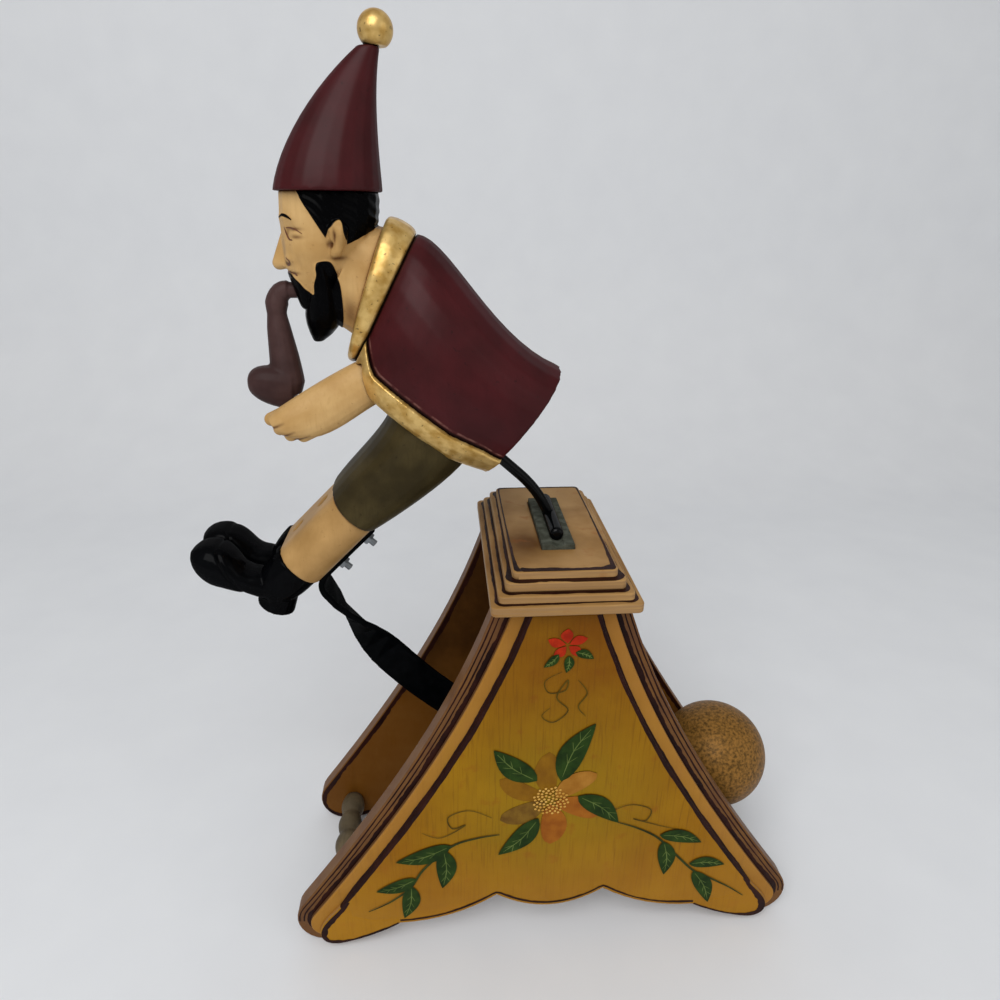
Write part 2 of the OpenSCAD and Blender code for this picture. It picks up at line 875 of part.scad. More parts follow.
// Bowl: from a root inside the foot of the stem to its tip, and half of its height
bowl_root = pipe_base + [3, 2];
bowl_tip = pipe_base + [1 - bowl_d, 5];
bowl_up = [0, bowl_d / 2];
bowl_top = [
    bowl_root + bowl_up, bowl_root + 1.4 * bowl_up - [12, 0],
    bowl_tip + 0.9 * bowl_up, bowl_tip + 0.2 * bowl_up
];
bowl_under = [
    bowl_root - bowl_up, bowl_root - bowl_up - [10, 0],
    bowl_tip - 0.7 * bowl_up, bowl_tip - 0.2 * bowl_up
];
bowl_halves = bowl_d * [0.35, 0.5, 0.45, 0.1];

module pipe() {
    color("#45302f")
        on_pivot()
            union() {
                skin_over([
                    for (k = [0:pipe_steps])
                        let (t = k / pipe_steps)
                        let (r = lookup(t, pipe_radii) * left_of(bez_dir(pipe_path, t)))
                        let (p = bez(pipe_path, t))
                        ring(p - r, p + r, norm(r), bez(pipe_y, t), pipe_sides, 2)
                ]);
                carve(bowl_top, bowl_under, bowl_halves, [pipe_y[4]], steps = 9, sides = pipe_sides);
                along(mouth, 180)
                    translate([0, 0, -stem_in])
                        cylinder(d = stem_d, h = stem_in + stem_lap);
            }
}

// Shorts: from the seat under the belly to the hem, which is square to the legs

leg_angle = 225;
// Distance of the shorts from the front end of the seat
shorts_set = 9;
toe_angle = leg_angle - 90;
hem = rump + [-71, -24];
shorts_front = seat_front + shorts_set * dir(seat_angle);
shorts_rear = shorts_front + shorts_l * dir(seat_angle);
hem_top = hem + hem_l / 2 * dir(toe_angle);
hem_under = hem - hem_l / 2 * dir(toe_angle);
thigh_front = [shorts_front, shorts_front + [-1, -15], hem_top + [11, 15], hem_top];
thigh_back = [shorts_rear, shorts_rear + [-2, -7], hem_under + [18, 11], hem_under];
thigh_half = [shorts_half, shorts_half + 2, shorts_half + 1.5, shorts_half];

// Point in the frame of the legs: along them from the hem, and forward towards the toes
function leg_at(a, b = 0) = hem + a * dir(leg_angle) + b * dir(toe_angle);

module leg_places(a) {
    for (side = [-1, 1])
        along(leg_at(a), leg_angle, side * leg_pitch / 2)
            children();
}

module shorts() {
    color("#3d3a28")
        on_pivot()
            difference() {
                carve(thigh_front, thigh_back, thigh_half, steps = 10, sides = 24);
                hip_peg_places()
                    peg(peg_d + 2 * peg_fit, hip_peg_l + 2 * loose);
                leg_places(0)
                    peg(leg_peg_d + 2 * peg_fit, 2 * (leg_peg_l + loose));
            }
}

module hip_pegs() {
    color(beech)
        on_pivot()
            hip_peg_places()
                peg(peg_d, hip_peg_l);
}

// Legs: a pair in one piece, joined by a web whose flat back carries the strap
web_front = 5;

module bolt_places() {
    for (i = [0, 1])
        along(leg_at(bolt_start + i * bolt_pitch), toe_angle)
            children();
}

module legs() {
    color(skin)
        on_pivot()
            difference() {
                union() {
                    leg_places(0) {
                        cylinder(d = leg_d, h = leg_l);
                        translate([0, 0, -leg_peg_l])
                            cylinder(d = leg_peg_d, h = leg_l + 2 * leg_peg_l);
                    }
                    along(hem, leg_angle)
                        translate([-web_front, -leg_pitch / 2, 0])
                            cube([web_front + leg_d / 2, leg_pitch, leg_l]);
                }
                bolt_places() {
                    peg(bolt_d + 2 * peg_fit, 2 * leg_d);
                    translate([0, 0, web_front])
                        cylinder(d = bolt_head_d + 2 * loose, h = leg_d);
                }
            }
}

// Boot: an ankle that is cut flat under the leg, a foot with a round toe, and a heel block
sole = leg_l + boot_h;
heel_back = 1 - leg_d / 2;
toe_tip = heel_back + boot_l;
heel_h = 10;
heel_tilt = 22;
toe_a = sole + 1;
instep = sole - 16;
// Edge curves of the ankle and the foot, as places along and across the leg
shin_curve = [
    leg_at(leg_l - 6, leg_d / 2 + 1), leg_at(leg_l + 10, leg_d / 2 + 2),
    leg_at(leg_l + 20, leg_d / 2), leg_at(sole - 6, leg_d / 2 - 6)
];
calf_curve = [
    leg_at(leg_l - 6, heel_back), leg_at(leg_l + 10, heel_back), leg_at(instep, heel_back),
    leg_at(sole - 6, heel_back + 4)
];
vamp_curve = [
    leg_at(instep, heel_back + 6), leg_at(instep, 8), leg_at(sole - 10, 20),
    leg_at(toe_a - toe_t + 2, toe_tip - 14), leg_at(toe_a - toe_t / 2, toe_tip), leg_at(toe_a, toe_tip)
];
sole_curve = [
    leg_at(sole - 5, heel_back + 6), leg_at(sole - 6, 2), leg_at(sole + 4, 10),
    leg_at(toe_a + toe_t / 2 + 2, toe_tip - 20), leg_at(toe_a + toe_t / 2, toe_tip - 5),
    leg_at(toe_a + 1, toe_tip)
];
boot_half = boot_w / 2;
ankle_half = [boot_half, boot_half, boot_half - 0.5, boot_half - 2.5];
foot_half = [boot_half - 3, boot_half - 1, boot_half - 2, boot_half + 1, boot_half, 2];
// Radius of the heel block at its foot, and where it starts
heel_r = boot_half - 2;
heel_root = leg_at(sole - heel_h - 1, heel_back + heel_r - 0.5);

module boot(side) {
    y = side * leg_pitch / 2;
    difference() {
        union() {
            carve(shin_curve, calf_curve, ankle_half, [y], steps = 8);
            carve(vamp_curve, sole_curve, foot_half, [y], steps = 14);
            along(heel_root, leg_angle + heel_tilt, y)
                cylinder(r1 = heel_r - 1, r2 = heel_r, h = heel_h);
        }
        along(leg_at(leg_l + peg_fit), leg_angle + 180)
            translate([-cutter / 2, -cutter / 2, 0])
                cube(cutter);
        along(leg_at(leg_l), leg_angle, y)
            peg(leg_peg_d + 2 * peg_fit, 2 * (leg_peg_l + loose));
        along(leg_at(leg_l), leg_angle, side * (loose - cutter) / 2)
            cube([2 * cutter, cutter, 2 * cutter], center = true);
    }
}

module left_boot() {
    color(black)
        on_pivot()
            boot(-1);
}

module right_boot() {
    color(black)
        on_pivot()
            boot(1);
}

// Strap: flat on the calves, bent below the heels, twisted a quarter turn, then curved to the ball

ball = [ball_x, -ball_drop];
strap_top = 2;
calf_b = -leg_d / 2 - strap_t / 2;
strap_turn = 75;
strap_bend_start = leg_at(strap_top + strap_calf, calf_b);
strap_bend_c = strap_bend_start + strap_bend_r * left_of(leg_angle);
strap_leave = leg_angle + strap_turn;
strap_bend_end = strap_bend_c - strap_bend_r * left_of(strap_leave);
// Pull of the sweep at its two ends, and the straight run before the ball
strap_pull = [80, 85];
strap_run = 4;
strap_land = ball - [ball_d / 2 + strap_run, 0];
strap_sweep = [
    strap_bend_end,
    strap_bend_end + strap_pull[0] * dir(strap_leave),
    strap_land - [strap_pull[1], 0],
    strap_land
];
// How far the strap reaches past the middle of the ball
strap_past = 11;
strap_end = ball + [strap_past, 0];
strap_twist_end = 0.24;
bend_steps = 6;
sweep_steps = 28;

// Section of the strap at a point, for its direction and the turn of its flat about that direction
function strap_ring(p, a, turn) =
    let (across = left_of(a))
    let (w = [across[0] * sin(turn), cos(turn), across[1] * sin(turn)] * strap_w / 2)
    let (t = [across[0] * cos(turn), -sin(turn), across[1] * cos(turn)] * strap_t / 2)
    [xyz(p) + w + t, xyz(p) - w + t, xyz(p) - w - t, xyz(p) + w - t];

strap_rings = concat(
    [strap_ring(leg_at(strap_top, calf_b), leg_angle, 0)],
    [for (i = [0:bend_steps - 1])
        let (a = leg_angle + strap_turn * i / bend_steps)
        strap_ring(strap_bend_c - strap_bend_r * left_of(a), a, 0)],
    [for (i = [0:sweep_steps])
        let (t = i / sweep_steps)
        strap_ring(bez(strap_sweep, t), bez_dir(strap_sweep, t), -90 * smooth(t / strap_twist_end))],
    [strap_ring(strap_end, 0, -90)]
);

module strap() {
    color(steel)
        on_pivot()
            difference() {
                skin_over(strap_rings);
                bolt_places()
                    peg(bolt_d + 2 * peg_fit, 2 * leg_d);
                translate(xyz(ball))
                    rotate([90, 0, 0])
                        peg(core_pin_d + 2 * peg_fit, strap_w);
            }
}

// Bolts: heads in front of the web, washers and nuts behind the strap
bolt_head_d = 1.9 * bolt_d;
bolt_head_h = 0.6 * bolt_d;
washer_d = 2.4 * bolt_d;
washer_t = 0.8;
nut_af = 1.75 * bolt_d;
nut_h = 0.75 * bolt_d;
bolt_proud = 3.5;
strap_back = leg_d / 2 + strap_t;

module strap_bolts() {
    color(zinc)
        on_pivot()
            bolt_places() {
                reach = strap_back + washer_t + nut_h + bolt_proud;
                translate([0, 0, -reach])
                    cylinder(d = bolt_d, h = reach + web_front + bolt_head_h / 2);
                translate([0, 0, web_front])
                    cylinder(d = bolt_head_d, h = bolt_head_h);
            }
}

module strap_washers() {
    color(zinc)
        on_pivot()
            bolt_places()
                translate([0, 0, -strap_back - washer_t])
                    difference() {
                        cylinder(d = washer_d, h = washer_t);
                        translate([0, 0, -eps])
                            cylinder(d = bolt_d + 2 * peg_fit, h = washer_t + 2 * eps);
                    }
}

module strap_nuts() {
    color(zinc)
        on_pivot()
            bolt_places()
                translate([0, 0, -strap_back - washer_t - nut_h])
                    difference() {
                        cylinder(d = nut_af / cos(30), h = nut_h, $fn = 6);
                        translate([0, 0, -eps])
                            cylinder(d = bolt_d + 2 * peg_fit, h = nut_h + 2 * eps);
                    }
}

// Ball: two turned halves around an iron core, which is slotted for the strap and pinned to it

module strap_slot() {
    reach = strap_past + loose;
    translate([reach / 2 - ball_d / 2, 0, 0])
        cube([reach + ball_d, strap_t + 2 * peg_fit, strap_w + 2 * peg_fit], center = true);
}

module ball_half(side) {
    translate(xyz(ball))
        difference() {
            sphere(d = ball_d);
            sphere(d = core_d + 2 * peg_fit);
            strap_slot();
            translate([0, -side * ball_d, 0])
                cube(2 * ball_d, center = true);
        }
}

module ball_left() {
    color("#6b5232")
        on_pivot()
            ball_half(-1);
}

module ball_right() {
    color("#6b5232")
        on_pivot()
            ball_half(1);
}

// Share of the core that the pin crosses
core_pin_share = 0.85;
core_pin_l = core_pin_share * core_d;

module ball_core() {
    color("dimgray")
        on_pivot()
            translate(xyz(ball))
                difference() {
                    sphere(d = core_d);
                    strap_slot();
                    rotate([90, 0, 0])
                        peg(core_pin_d + 2 * peg_fit, core_d + 2 * eps);
                }
}

module core_pin() {
    color(zinc)
        on_pivot()
            translate(xyz(ball))
                rotate([90, 0, 0])
                    peg(core_pin_d, core_pin_l);
}

front_panel();
back_panel();
left_stretcher();
right_stretcher();
cap_base();
cap_top();
cap_dowels();
pivot_plate();
pivot_bar();
pivot_rod();
body();
collar();
left_trim();
right_trim();
neck_peg();
head();
hat();
hat_peg();
hat_ball();
arm();
pipe();
shorts();
hip_pegs();
legs();
left_boot();
right_boot();
strap();
strap_bolts();
strap_washers();
strap_nuts();
ball_left();
ball_right();
ball_core();
core_pin();
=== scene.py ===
# %% [markdown]
# A painted wooden balance toy. A carved pipe smoker rocks on a steel bar above a flowered stand.
# The construction comes from the frame: every solid is already at its real size and in its real place.
# This script gives those solids what a carver and a painter give them: eased edges, sanded forms,
# painted lines, flowers, a face and worn paint.

# %% Load the frame
import json
import math

import bmesh
import bpy
import numpy as np
from mathutils import Matrix, Vector, noise
from mathutils.bvhtree import BVHTree


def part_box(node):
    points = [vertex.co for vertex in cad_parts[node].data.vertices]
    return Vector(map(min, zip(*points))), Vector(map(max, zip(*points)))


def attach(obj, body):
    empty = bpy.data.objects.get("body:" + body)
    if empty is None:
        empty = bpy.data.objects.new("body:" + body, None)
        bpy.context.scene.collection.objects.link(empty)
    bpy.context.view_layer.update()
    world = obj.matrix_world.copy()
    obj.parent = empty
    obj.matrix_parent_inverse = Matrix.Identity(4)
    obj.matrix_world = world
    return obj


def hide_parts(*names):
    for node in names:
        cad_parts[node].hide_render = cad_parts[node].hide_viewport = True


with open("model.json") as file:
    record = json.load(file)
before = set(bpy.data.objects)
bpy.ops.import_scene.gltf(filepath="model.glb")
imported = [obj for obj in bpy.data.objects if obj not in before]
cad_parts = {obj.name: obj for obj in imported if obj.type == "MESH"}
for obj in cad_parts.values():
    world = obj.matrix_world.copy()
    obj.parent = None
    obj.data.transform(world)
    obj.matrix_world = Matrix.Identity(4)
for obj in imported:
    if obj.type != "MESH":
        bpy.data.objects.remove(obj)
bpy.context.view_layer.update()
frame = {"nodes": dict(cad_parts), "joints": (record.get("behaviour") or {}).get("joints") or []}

MM = 0.001
STAND, ROCKER = "stand", "rocker"
pivot = Vector(frame["joints"][0]["pos_m"])
print("pieces in the frame:", len(frame["nodes"]), "pivot:", tuple(round(v, 4) for v in pivot))

# %% [markdown]
# All places below are written in millimetres from the middle of the stand, on the floor, as a maker would
# measure them. One helper turns such a place into the scene's metres, and a second adds an object.

# %% Places and objects


def at(x, y, z):
    """A place measured in millimetres from the middle of the stand, in the scene's metres."""
    return Vector((pivot.x + x * MM, y * MM, z * MM))


def new_piece(name, mesh, body, material):
    """Adds a mesh as a smooth piece that rides on a body and takes a material."""
    piece = bpy.data.objects.new(name, mesh)
    bpy.context.scene.collection.objects.link(piece)
    mesh.materials.clear()
    mesh.materials.append(material)
    mesh.shade_smooth()
    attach(piece, body)
    return piece


print("middle of the stand:", tuple(round(v, 4) for v in at(0, 0, 0)))

# %% [markdown]
# Paint colours are easiest to read as the hex values that a colour picker gives. The shaders need linear
# light, so one function converts them. One more function adds a shader node, sets its options and fills or
# links its inputs. Paint is then built up as a painter does it: coat over coat, each laid where some value,
# such as a pattern's, rises from low to high.

# %% Colours, shader nodes and coats


def linear(hex_colour):
    """Linear RGBA of an sRGB hex colour."""
    channels = [int(hex_colour[i:i + 2], 16) / 255 for i in (1, 3, 5)]
    return [c / 12.92 if c <= 0.04045 else ((c + 0.055) / 1.055) ** 2.4 for c in channels] + [1]


def per_mm(size):
    """Texture scale at which a pattern repeats about every size millimetres."""
    return 1 / (size * MM)


def add_node(tree, kind, inputs=None, **options):
    """Adds one shader node, sets its options, and fills or links its inputs."""
    node = tree.nodes.new(f"ShaderNode{kind}")
    for name, value in options.items():
        setattr(node, name, value)
    for name, value in (inputs or {}).items():
        if isinstance(value, bpy.types.NodeSocket):
            tree.links.new(value, node.inputs[name])
        else:
            node.inputs[name].default_value = value
    return node


def start_material(name, **values):
    """A material, its node tree, its shader with some sockets set, and its object's coordinates."""
    material = bpy.data.materials.new(name)
    material.use_nodes = True
    tree = material.node_tree
    shader = tree.nodes["Principled BSDF"]
    for socket, value in values.items():
        shader.inputs[socket.replace("_", " ")].default_value = value
    return material, tree, shader, add_node(tree, "TexCoord").outputs


def coat(tree, under, over, value, low=0.0, high=1.0, share=1.0):
    """Lays a hex colour over what is under it, more of it as a value goes from low to high, up to a share."""
    laid = add_node(tree, "MapRange", {"Value": value, "From Min": low, "From Max": high, "To Max": share})
    mixed = add_node(tree, "MixRGB", {"Fac": laid.outputs["Result"], "Color1": under, "Color2": linear(over)})
    return mixed.outputs["Color"]


def finish(tree, shader, colour, height=None, strength=0.0, depth=0.0):
    """Gives a shader its colour and, from a height, a fine relief with a depth in millimetres."""
    tree.links.new(colour, shader.inputs["Base Color"])
    if height:
        relief = add_node(tree, "Bump", {"Height": height, "Strength": strength, "Distance": depth * MM})
        tree.links.new(relief.outputs["Normal"], shader.inputs["Normal"])


print("linear mid grey:", [round(c, 3) for c in linear("#808080")])

# %% [markdown]
# Most of the toy is wood under oil paint. Such paint is never one colour: it drifts from thin to thick, it
# carries fine brush lines, and an antiquing glaze, rubbed off the high places, stays in the corners. Ambient
# occlusion, which is dark where surfaces meet, lays the glaze there, so it is partly glaze and partly painted
# shade. One function mixes this paint, and each call names a real finish. Bristles leave lines about 0.3 mm
# apart. They are drawn 1.2 mm apart, because finer ones wouldn't show.

# %% Oil paint on carved wood


def oil_paint(name, light, dark, glaze_and_shade, drift=18, brush=(1.2, 1.2, 22), specks=0.0, speck=2.2, glaze_and_shade_reach=5,
              bump=0.25, **values):
    """Brushed oil paint: drifting tones, brush lines, worn specks, and glaze with painted shade in the corners."""
    material, tree, shader, place = start_material(name, **values)
    tone = add_node(tree, "TexNoise", {"Vector": place["Object"], "Scale": per_mm(drift), "Detail": 5})
    colour = coat(tree, linear(dark), light, tone.outputs["Fac"], 0.36, 0.66)
    stretch = add_node(tree, "Mapping", {"Vector": place["Object"], "Scale": [per_mm(size) for size in brush]})
    lines = add_node(tree, "TexNoise", {"Vector": stretch.outputs["Vector"], "Scale": 1, "Detail": 4})
    colour = coat(tree, colour, dark, lines.outputs["Fac"], 0.5, 0.78, 0.45)
    spots = add_node(tree, "TexNoise", {"Vector": place["Object"], "Scale": per_mm(speck), "Detail": 3})
    colour = coat(tree, colour, glaze_and_shade, spots.outputs["Fac"], 0.66, 0.74, specks)
    # Ambient occlusion darkens the corners with the glaze colour: an antiquing glaze and painted shade.
    corner = add_node(tree, "AmbientOcclusion", {"Distance": glaze_and_shade_reach * MM}, samples=8)
    colour = coat(tree, colour, glaze_and_shade, corner.outputs["AO"], 0.75, 0.3, 0.85)
    finish(tree, shader, colour, lines.outputs["Fac"], bump, 0.25)
    return material


# Varnished maroon: deep and even, and only the varnish gives it a soft sheen.
maroon = oil_paint("maroon_gloss_oil_on_lime", "#421014", "#360b0e", "#150404", specks=0.5, bump=0.12,
                   Roughness=0.5, Specular_IOR_Level=0.0, Coat_Weight=0.34, Coat_Roughness=0.42)
# Satin olive: the dull colour of cloth, with hardly a shine.
olive = oil_paint("olive_satin_oil_on_lime", "#453b22", "#302815", "#150d07", specks=0.35, bump=0.15,
                  Roughness=0.5, Specular_IOR_Level=0.08)
# Flesh: warm, slightly polished by handling, with glaze and painted shade in the corners. The legs' copy is darker.
flesh = oil_paint("flesh_oil_on_lime", "#cba66f", "#b48d56", "#58290f", specks=0.3, glaze_and_shade_reach=4, bump=0.12,
                  Roughness=0.45, Specular_IOR_Level=0.15)
darker_flesh = oil_paint("darker_flesh_oil_on_lime", "#b8915b", "#9f7a47", "#4a220d", specks=0.3, glaze_and_shade_reach=4,
                   bump=0.12, Roughness=0.45, Specular_IOR_Level=0.15)
# Briar brown: a flat dark brown on the pipe.
briar = oil_paint("briar_brown_oil_on_lime", "#4d3836", "#3a2827", "#120808", bump=0.12,
                  Roughness=0.42, Specular_IOR_Level=0.08)
# Black gloss enamel: so dark that only its highlights show the form.
boot_black = oil_paint("black_gloss_enamel_on_lime", "#07080a", "#030304", "#010101", bump=0.06,
                       Roughness=0.3, Specular_IOR_Level=0.0, Coat_Weight=0.08, Coat_Roughness=0.14)
# A thin grey-brown wash: dull, with lines round the turning. Its tones are darkened as painted shade,
# for the stretchers stand in shade between the panels.
turned = oil_paint("grey_brown_wash_with_painted_shade_on_turned_beech", "#685b45", "#433a2c", "#2a1a10",
                   brush=(1.5, 20, 1.5), Roughness=0.5, Specular_IOR_Level=0.15)
# Bare planed beech: pale and dry, inside the joints.
bare_beech = oil_paint("bare_beech_planed", "#d8b98c", "#c29c69", "#8a6438", Roughness=0.6)
print("paints on wood:", [paint.name for paint in (maroon, olive, flesh, darker_flesh, briar, boot_black, turned)])

# %% [markdown]
# Gilt trims are bronze powder in varnish: partly metallic, with small dents of the gouge under it. The
# ball has the same powder over a dark ground, stippled on. The powder's grains and its missing spots are
# far below a millimetre, and the spots are drawn 1.7 mm apart so that they show.

# %% Bronze paints


def bronze_paint(name, light, dark, glaze_and_shade, dent, depth, pits, pit=1.7, glaze_and_shade_reach=3.5, **values):
    """Bronze powder: a partly metallic film over dented wood, dark pits, glaze and painted shade in the corners."""
    material, tree, shader, place = start_material(name, **values)
    dents = add_node(tree, "TexNoise", {"Vector": place["Object"], "Scale": per_mm(dent), "Detail": 4})
    colour = coat(tree, linear(dark), light, dents.outputs["Fac"], 0.34, 0.62)
    spots = add_node(tree, "TexNoise", {"Vector": place["Object"], "Scale": per_mm(pit), "Detail": 2})
    colour = coat(tree, colour, glaze_and_shade, spots.outputs["Fac"], 0.66, 0.73, pits)
    # Ambient occlusion darkens the corners: a glaze and painted shade.
    corner = add_node(tree, "AmbientOcclusion", {"Distance": glaze_and_shade_reach * MM}, samples=16)
    colour = coat(tree, colour, glaze_and_shade, corner.outputs["AO"], 0.8, 0.4, 0.95)
    finish(tree, shader, colour, dents.outputs["Fac"], depth, 0.5)
    return material


# Gilt on smooth gesso: broad soft highlights that break over the dents.
gilt = bronze_paint("gilt_bronze_powder_on_gesso", "#d9b670", "#b48b41", "#2c1706", 5, 0.18, 0.6,
                    Metallic=0.6, Roughness=0.33)
# Stippled bronze: speckled and nearly dull, like rough old metal.
old_bronze = bronze_paint("stippled_bronze_powder_on_turned_wood", "#94692e", "#573d14", "#2a1c0a", 1.6, 0.4,
                          0.4, Metallic=0.25, Roughness=0.5, Specular_IOR_Level=0.2)
print("bronze paints:", gilt.name, old_bronze.name)

# %% [markdown]
# The iron work is plain strip and rod under enamel. Brushed enamel dries with an orange peel of about
# 4 mm, which breaks its sheen. The studs and nuts are zinc plated, a bright metal with a slightly cloudy
# surface, and the weight in the ball is rough cast iron. Clouds and sand grains are drawn coarser than
# they are, so that they show.

# %% Steel, zinc and iron


def enamel(name, dark, light, gloss, gloss_roughness):
    """Enamel brushed on steel: two close tones, orange peel and a clear gloss."""
    material, tree, shader, place = start_material(
        name, Roughness=0.36, Specular_IOR_Level=0.0, Coat_Weight=gloss, Coat_Roughness=gloss_roughness)
    peel = add_node(tree, "TexNoise", {"Vector": place["Object"], "Scale": per_mm(4), "Detail": 5})
    colour = coat(tree, linear(dark), light, peel.outputs["Fac"], 0.4, 0.75)
    finish(tree, shader, colour, peel.outputs["Fac"], 0.3, 0.3)
    return material


def mottled(name, dark, light, size, detail, **values):
    """A plain finish whose colour drifts between two tones over a size in millimetres."""
    material, tree, shader, place = start_material(name, **values)
    cloud = add_node(tree, "TexNoise", {"Vector": place["Object"], "Scale": per_mm(size), "Detail": detail})
    finish(tree, shader, coat(tree, linear(dark), light, cloud.outputs["Fac"]))
    return material


# Black satin on the strap, grey rubbed enamel on the plate, and gloss on the bar that hands polish.
black_steel = enamel("black_satin_enamel_on_steel", "#030405", "#08090b", 0.04, 0.2)
plate_enamel = enamel("rubbed_grey_enamel_on_steel_plate", "#42443b", "#62655b", 0.04, 0.2)
bar_enamel = enamel("black_gloss_enamel_on_round_bar", "#030405", "#08090b", 0.25, 0.15)
# Zinc gives small clear highlights, cast iron only a dull grey one.
zinc = mottled("bright_zinc_plated_steel", "#5a5d60", "#8d9194", 1.5, 4, Metallic=1.0, Roughness=0.34)
iron = mottled("cast_iron_as_poured", "#3b3b3b", "#5a5856", 1, 6, Metallic=0.8, Roughness=0.7)
print("metals:", black_steel.name, plate_enamel.name, bar_enamel.name, zinc.name, iron.name)

# %% [markdown]
# The stand is pine under ochre paint. The paint has fine lines along the grain, a yellow-green blush round
# the flowers, brown patches where it is rubbed, and its side edges are worn to tan wood. The side edges
# are those that don't face along the board's own axis, so the surface's direction tells where the wear
# goes. Bands of other tones lie where the board's height or depth says so, and some of them are painted
# shade. A glaze and painted shade darken the corners.

# %% Ochre stand paint
DRIFT_MM, RUB_MM, GLAZE_AND_SHADE_REACH_MM = 38, 11, 6
THIN_PAINT, RUBBED_PAINT, WORN_WOOD, STAND_GLAZE_AND_SHADE = "#6a420c", "#8a4c12", "#977650", "#3c1d0d"


def ochre_paint(name, light, dark, lines, worn_axis, blush, bands):
    """Ochre oil paint on pine: rubbed patches, worn edges, a blush, bands, glaze and painted shade in corners."""
    material, tree, shader, place = start_material(name, Roughness=0.46, Specular_IOR_Level=0.08)
    drift = add_node(tree, "TexNoise", {"Vector": place["Object"], "Scale": per_mm(DRIFT_MM), "Detail": 6})
    colour = coat(tree, linear(light), dark, drift.outputs["Fac"], 0.33, 0.68)
    blush_place, blush_reach, blush_share, blush_colour = blush
    centre = add_node(tree, "Mapping", {
        "Vector": place["Object"], "Location": [-v / (blush_reach * MM) for v in blush_place],
        "Scale": [per_mm(blush_reach)] * 3})
    glow = add_node(tree, "TexGradient", {"Vector": centre.outputs["Vector"]}, gradient_type="SPHERICAL")
    uneven = add_node(tree, "Math", {0: glow.outputs["Fac"], 1: drift.outputs["Fac"]}, operation="MULTIPLY")
    colour = coat(tree, colour, blush_colour, uneven.outputs["Value"], 0, 0.5, blush_share)
    stretch = add_node(tree, "Mapping", {"Vector": place["Object"], "Scale": [per_mm(size) for size in lines]})
    grain = add_node(tree, "TexNoise", {"Vector": stretch.outputs["Vector"], "Scale": 1, "Detail": 4})
    colour = coat(tree, colour, THIN_PAINT, grain.outputs["Fac"], 0.52, 0.75, 0.55)
    rub = add_node(tree, "TexNoise", {"Vector": place["Object"], "Scale": per_mm(RUB_MM), "Detail": 7})
    colour = coat(tree, colour, RUBBED_PAINT, rub.outputs["Fac"], 0.6, 0.72, 0.5)
    facing = add_node(tree, "SeparateXYZ", {"Vector": place["Normal"]})
    across = add_node(tree, "Math", {0: facing.outputs[worn_axis]}, operation="ABSOLUTE")
    edge = add_node(tree, "MapRange", {
        "Value": across.outputs["Value"], "From Min": 0.95, "From Max": 0.45, "To Max": 0.9})
    wear = add_node(tree, "Math", {0: edge.outputs["Result"], 1: grain.outputs["Fac"]}, operation="MULTIPLY")
    colour = coat(tree, colour, WORN_WOOD, wear.outputs["Value"], 0.25, 0.5, 0.9)
    # Ambient occlusion darkens the corners: a glaze and painted shade.
    corner = add_node(tree, "AmbientOcclusion", {"Distance": GLAZE_AND_SHADE_REACH_MM * MM}, samples=16)
    colour = coat(tree, colour, STAND_GLAZE_AND_SHADE, corner.outputs["AO"], 0.75, 0.35, 0.85)
    parts = add_node(tree, "SeparateXYZ", {"Vector": place["Object"]})
    for limits, share, tone in bands:
        laid = add_node(tree, "MapRange", {
            "Value": rub.outputs["Fac"], "From Min": 0.3, "From Max": 0.7, "To Min": 0.75 * share,
            "To Max": share}).outputs["Result"]
        for axis, start, full in limits:
            off_middle = add_node(tree, "Math", {0: parts.outputs[axis]}, operation="ABSOLUTE")
            level = add_node(tree, "MapRange", {
                "Value": off_middle.outputs["Value"], "From Min": start * MM, "From Max": full * MM})
            both = add_node(tree, "Math", {0: laid, 1: level.outputs["Result"]}, operation="MULTIPLY")
            laid = both.outputs["Value"]
        colour = coat(tree, colour, tone, laid)
    finish(tree, shader, colour, grain.outputs["Fac"], 0.3, 0.3)
    return material


# %% [markdown]
# The panels' levels come from the frame: the flowered field lies on the outer face, then come a bead, a
# strip and, facing inwards, the plain back. Each has its own tone, and the field grows lighter towards its
# foot. Painted shade darkens the back, most under the cap, and the whole panel towards the cap. The lining
# paint is thin, so its glaze and painted corner shade reach no further than the film is thick.

# %% Paints of the stand
FLOWER = (-2.5, 102)
front_low, front_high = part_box("front_panel")
near_face, inner_face = front_low.y / MM, -front_high.y / MM
FIELD = ("Y", -near_face - 0.6, -near_face - 0.1)
BEAD = ("Y", -near_face - 0.9, -near_face - 1.4)
STRIP = ("Y", -near_face - 3.7, -near_face - 4.2)
INSIDE = ("Y", inner_face + 0.6, inner_face + 0.1)
# Painted shade: the first row darkens the panels towards the cap, the last two the inner faces, most under the cap.
PANEL_TONES_AND_SHADE = [  # where a tone starts and where it is full along one or two axes, its share, its colour
    ([("Z", 115, 205)], 0.6, "#5e3206"), ([FIELD, ("Z", 75, 25)], 0.55, "#b07c22"), ([BEAD], 0.7, "#ac7a38"),
    ([STRIP], 0.9, "#583a2a"), ([INSIDE], 0.9, "#6a400a"), ([INSIDE, ("Z", 95, 140)], 0.88, "#261407")]
# Upright grain on the panels: a warm ochre, glossy enough to look oiled.
panel_paint = ochre_paint("ochre_oil_on_pine_upright_grain", "#9c6e0c", "#885608", (1.1, 1.1, 26), "Y",
                          (at(FLOWER[0], near_face, FLOWER[1]), 80, 0.8, "#8f7510"), PANEL_TONES_AND_SHADE)
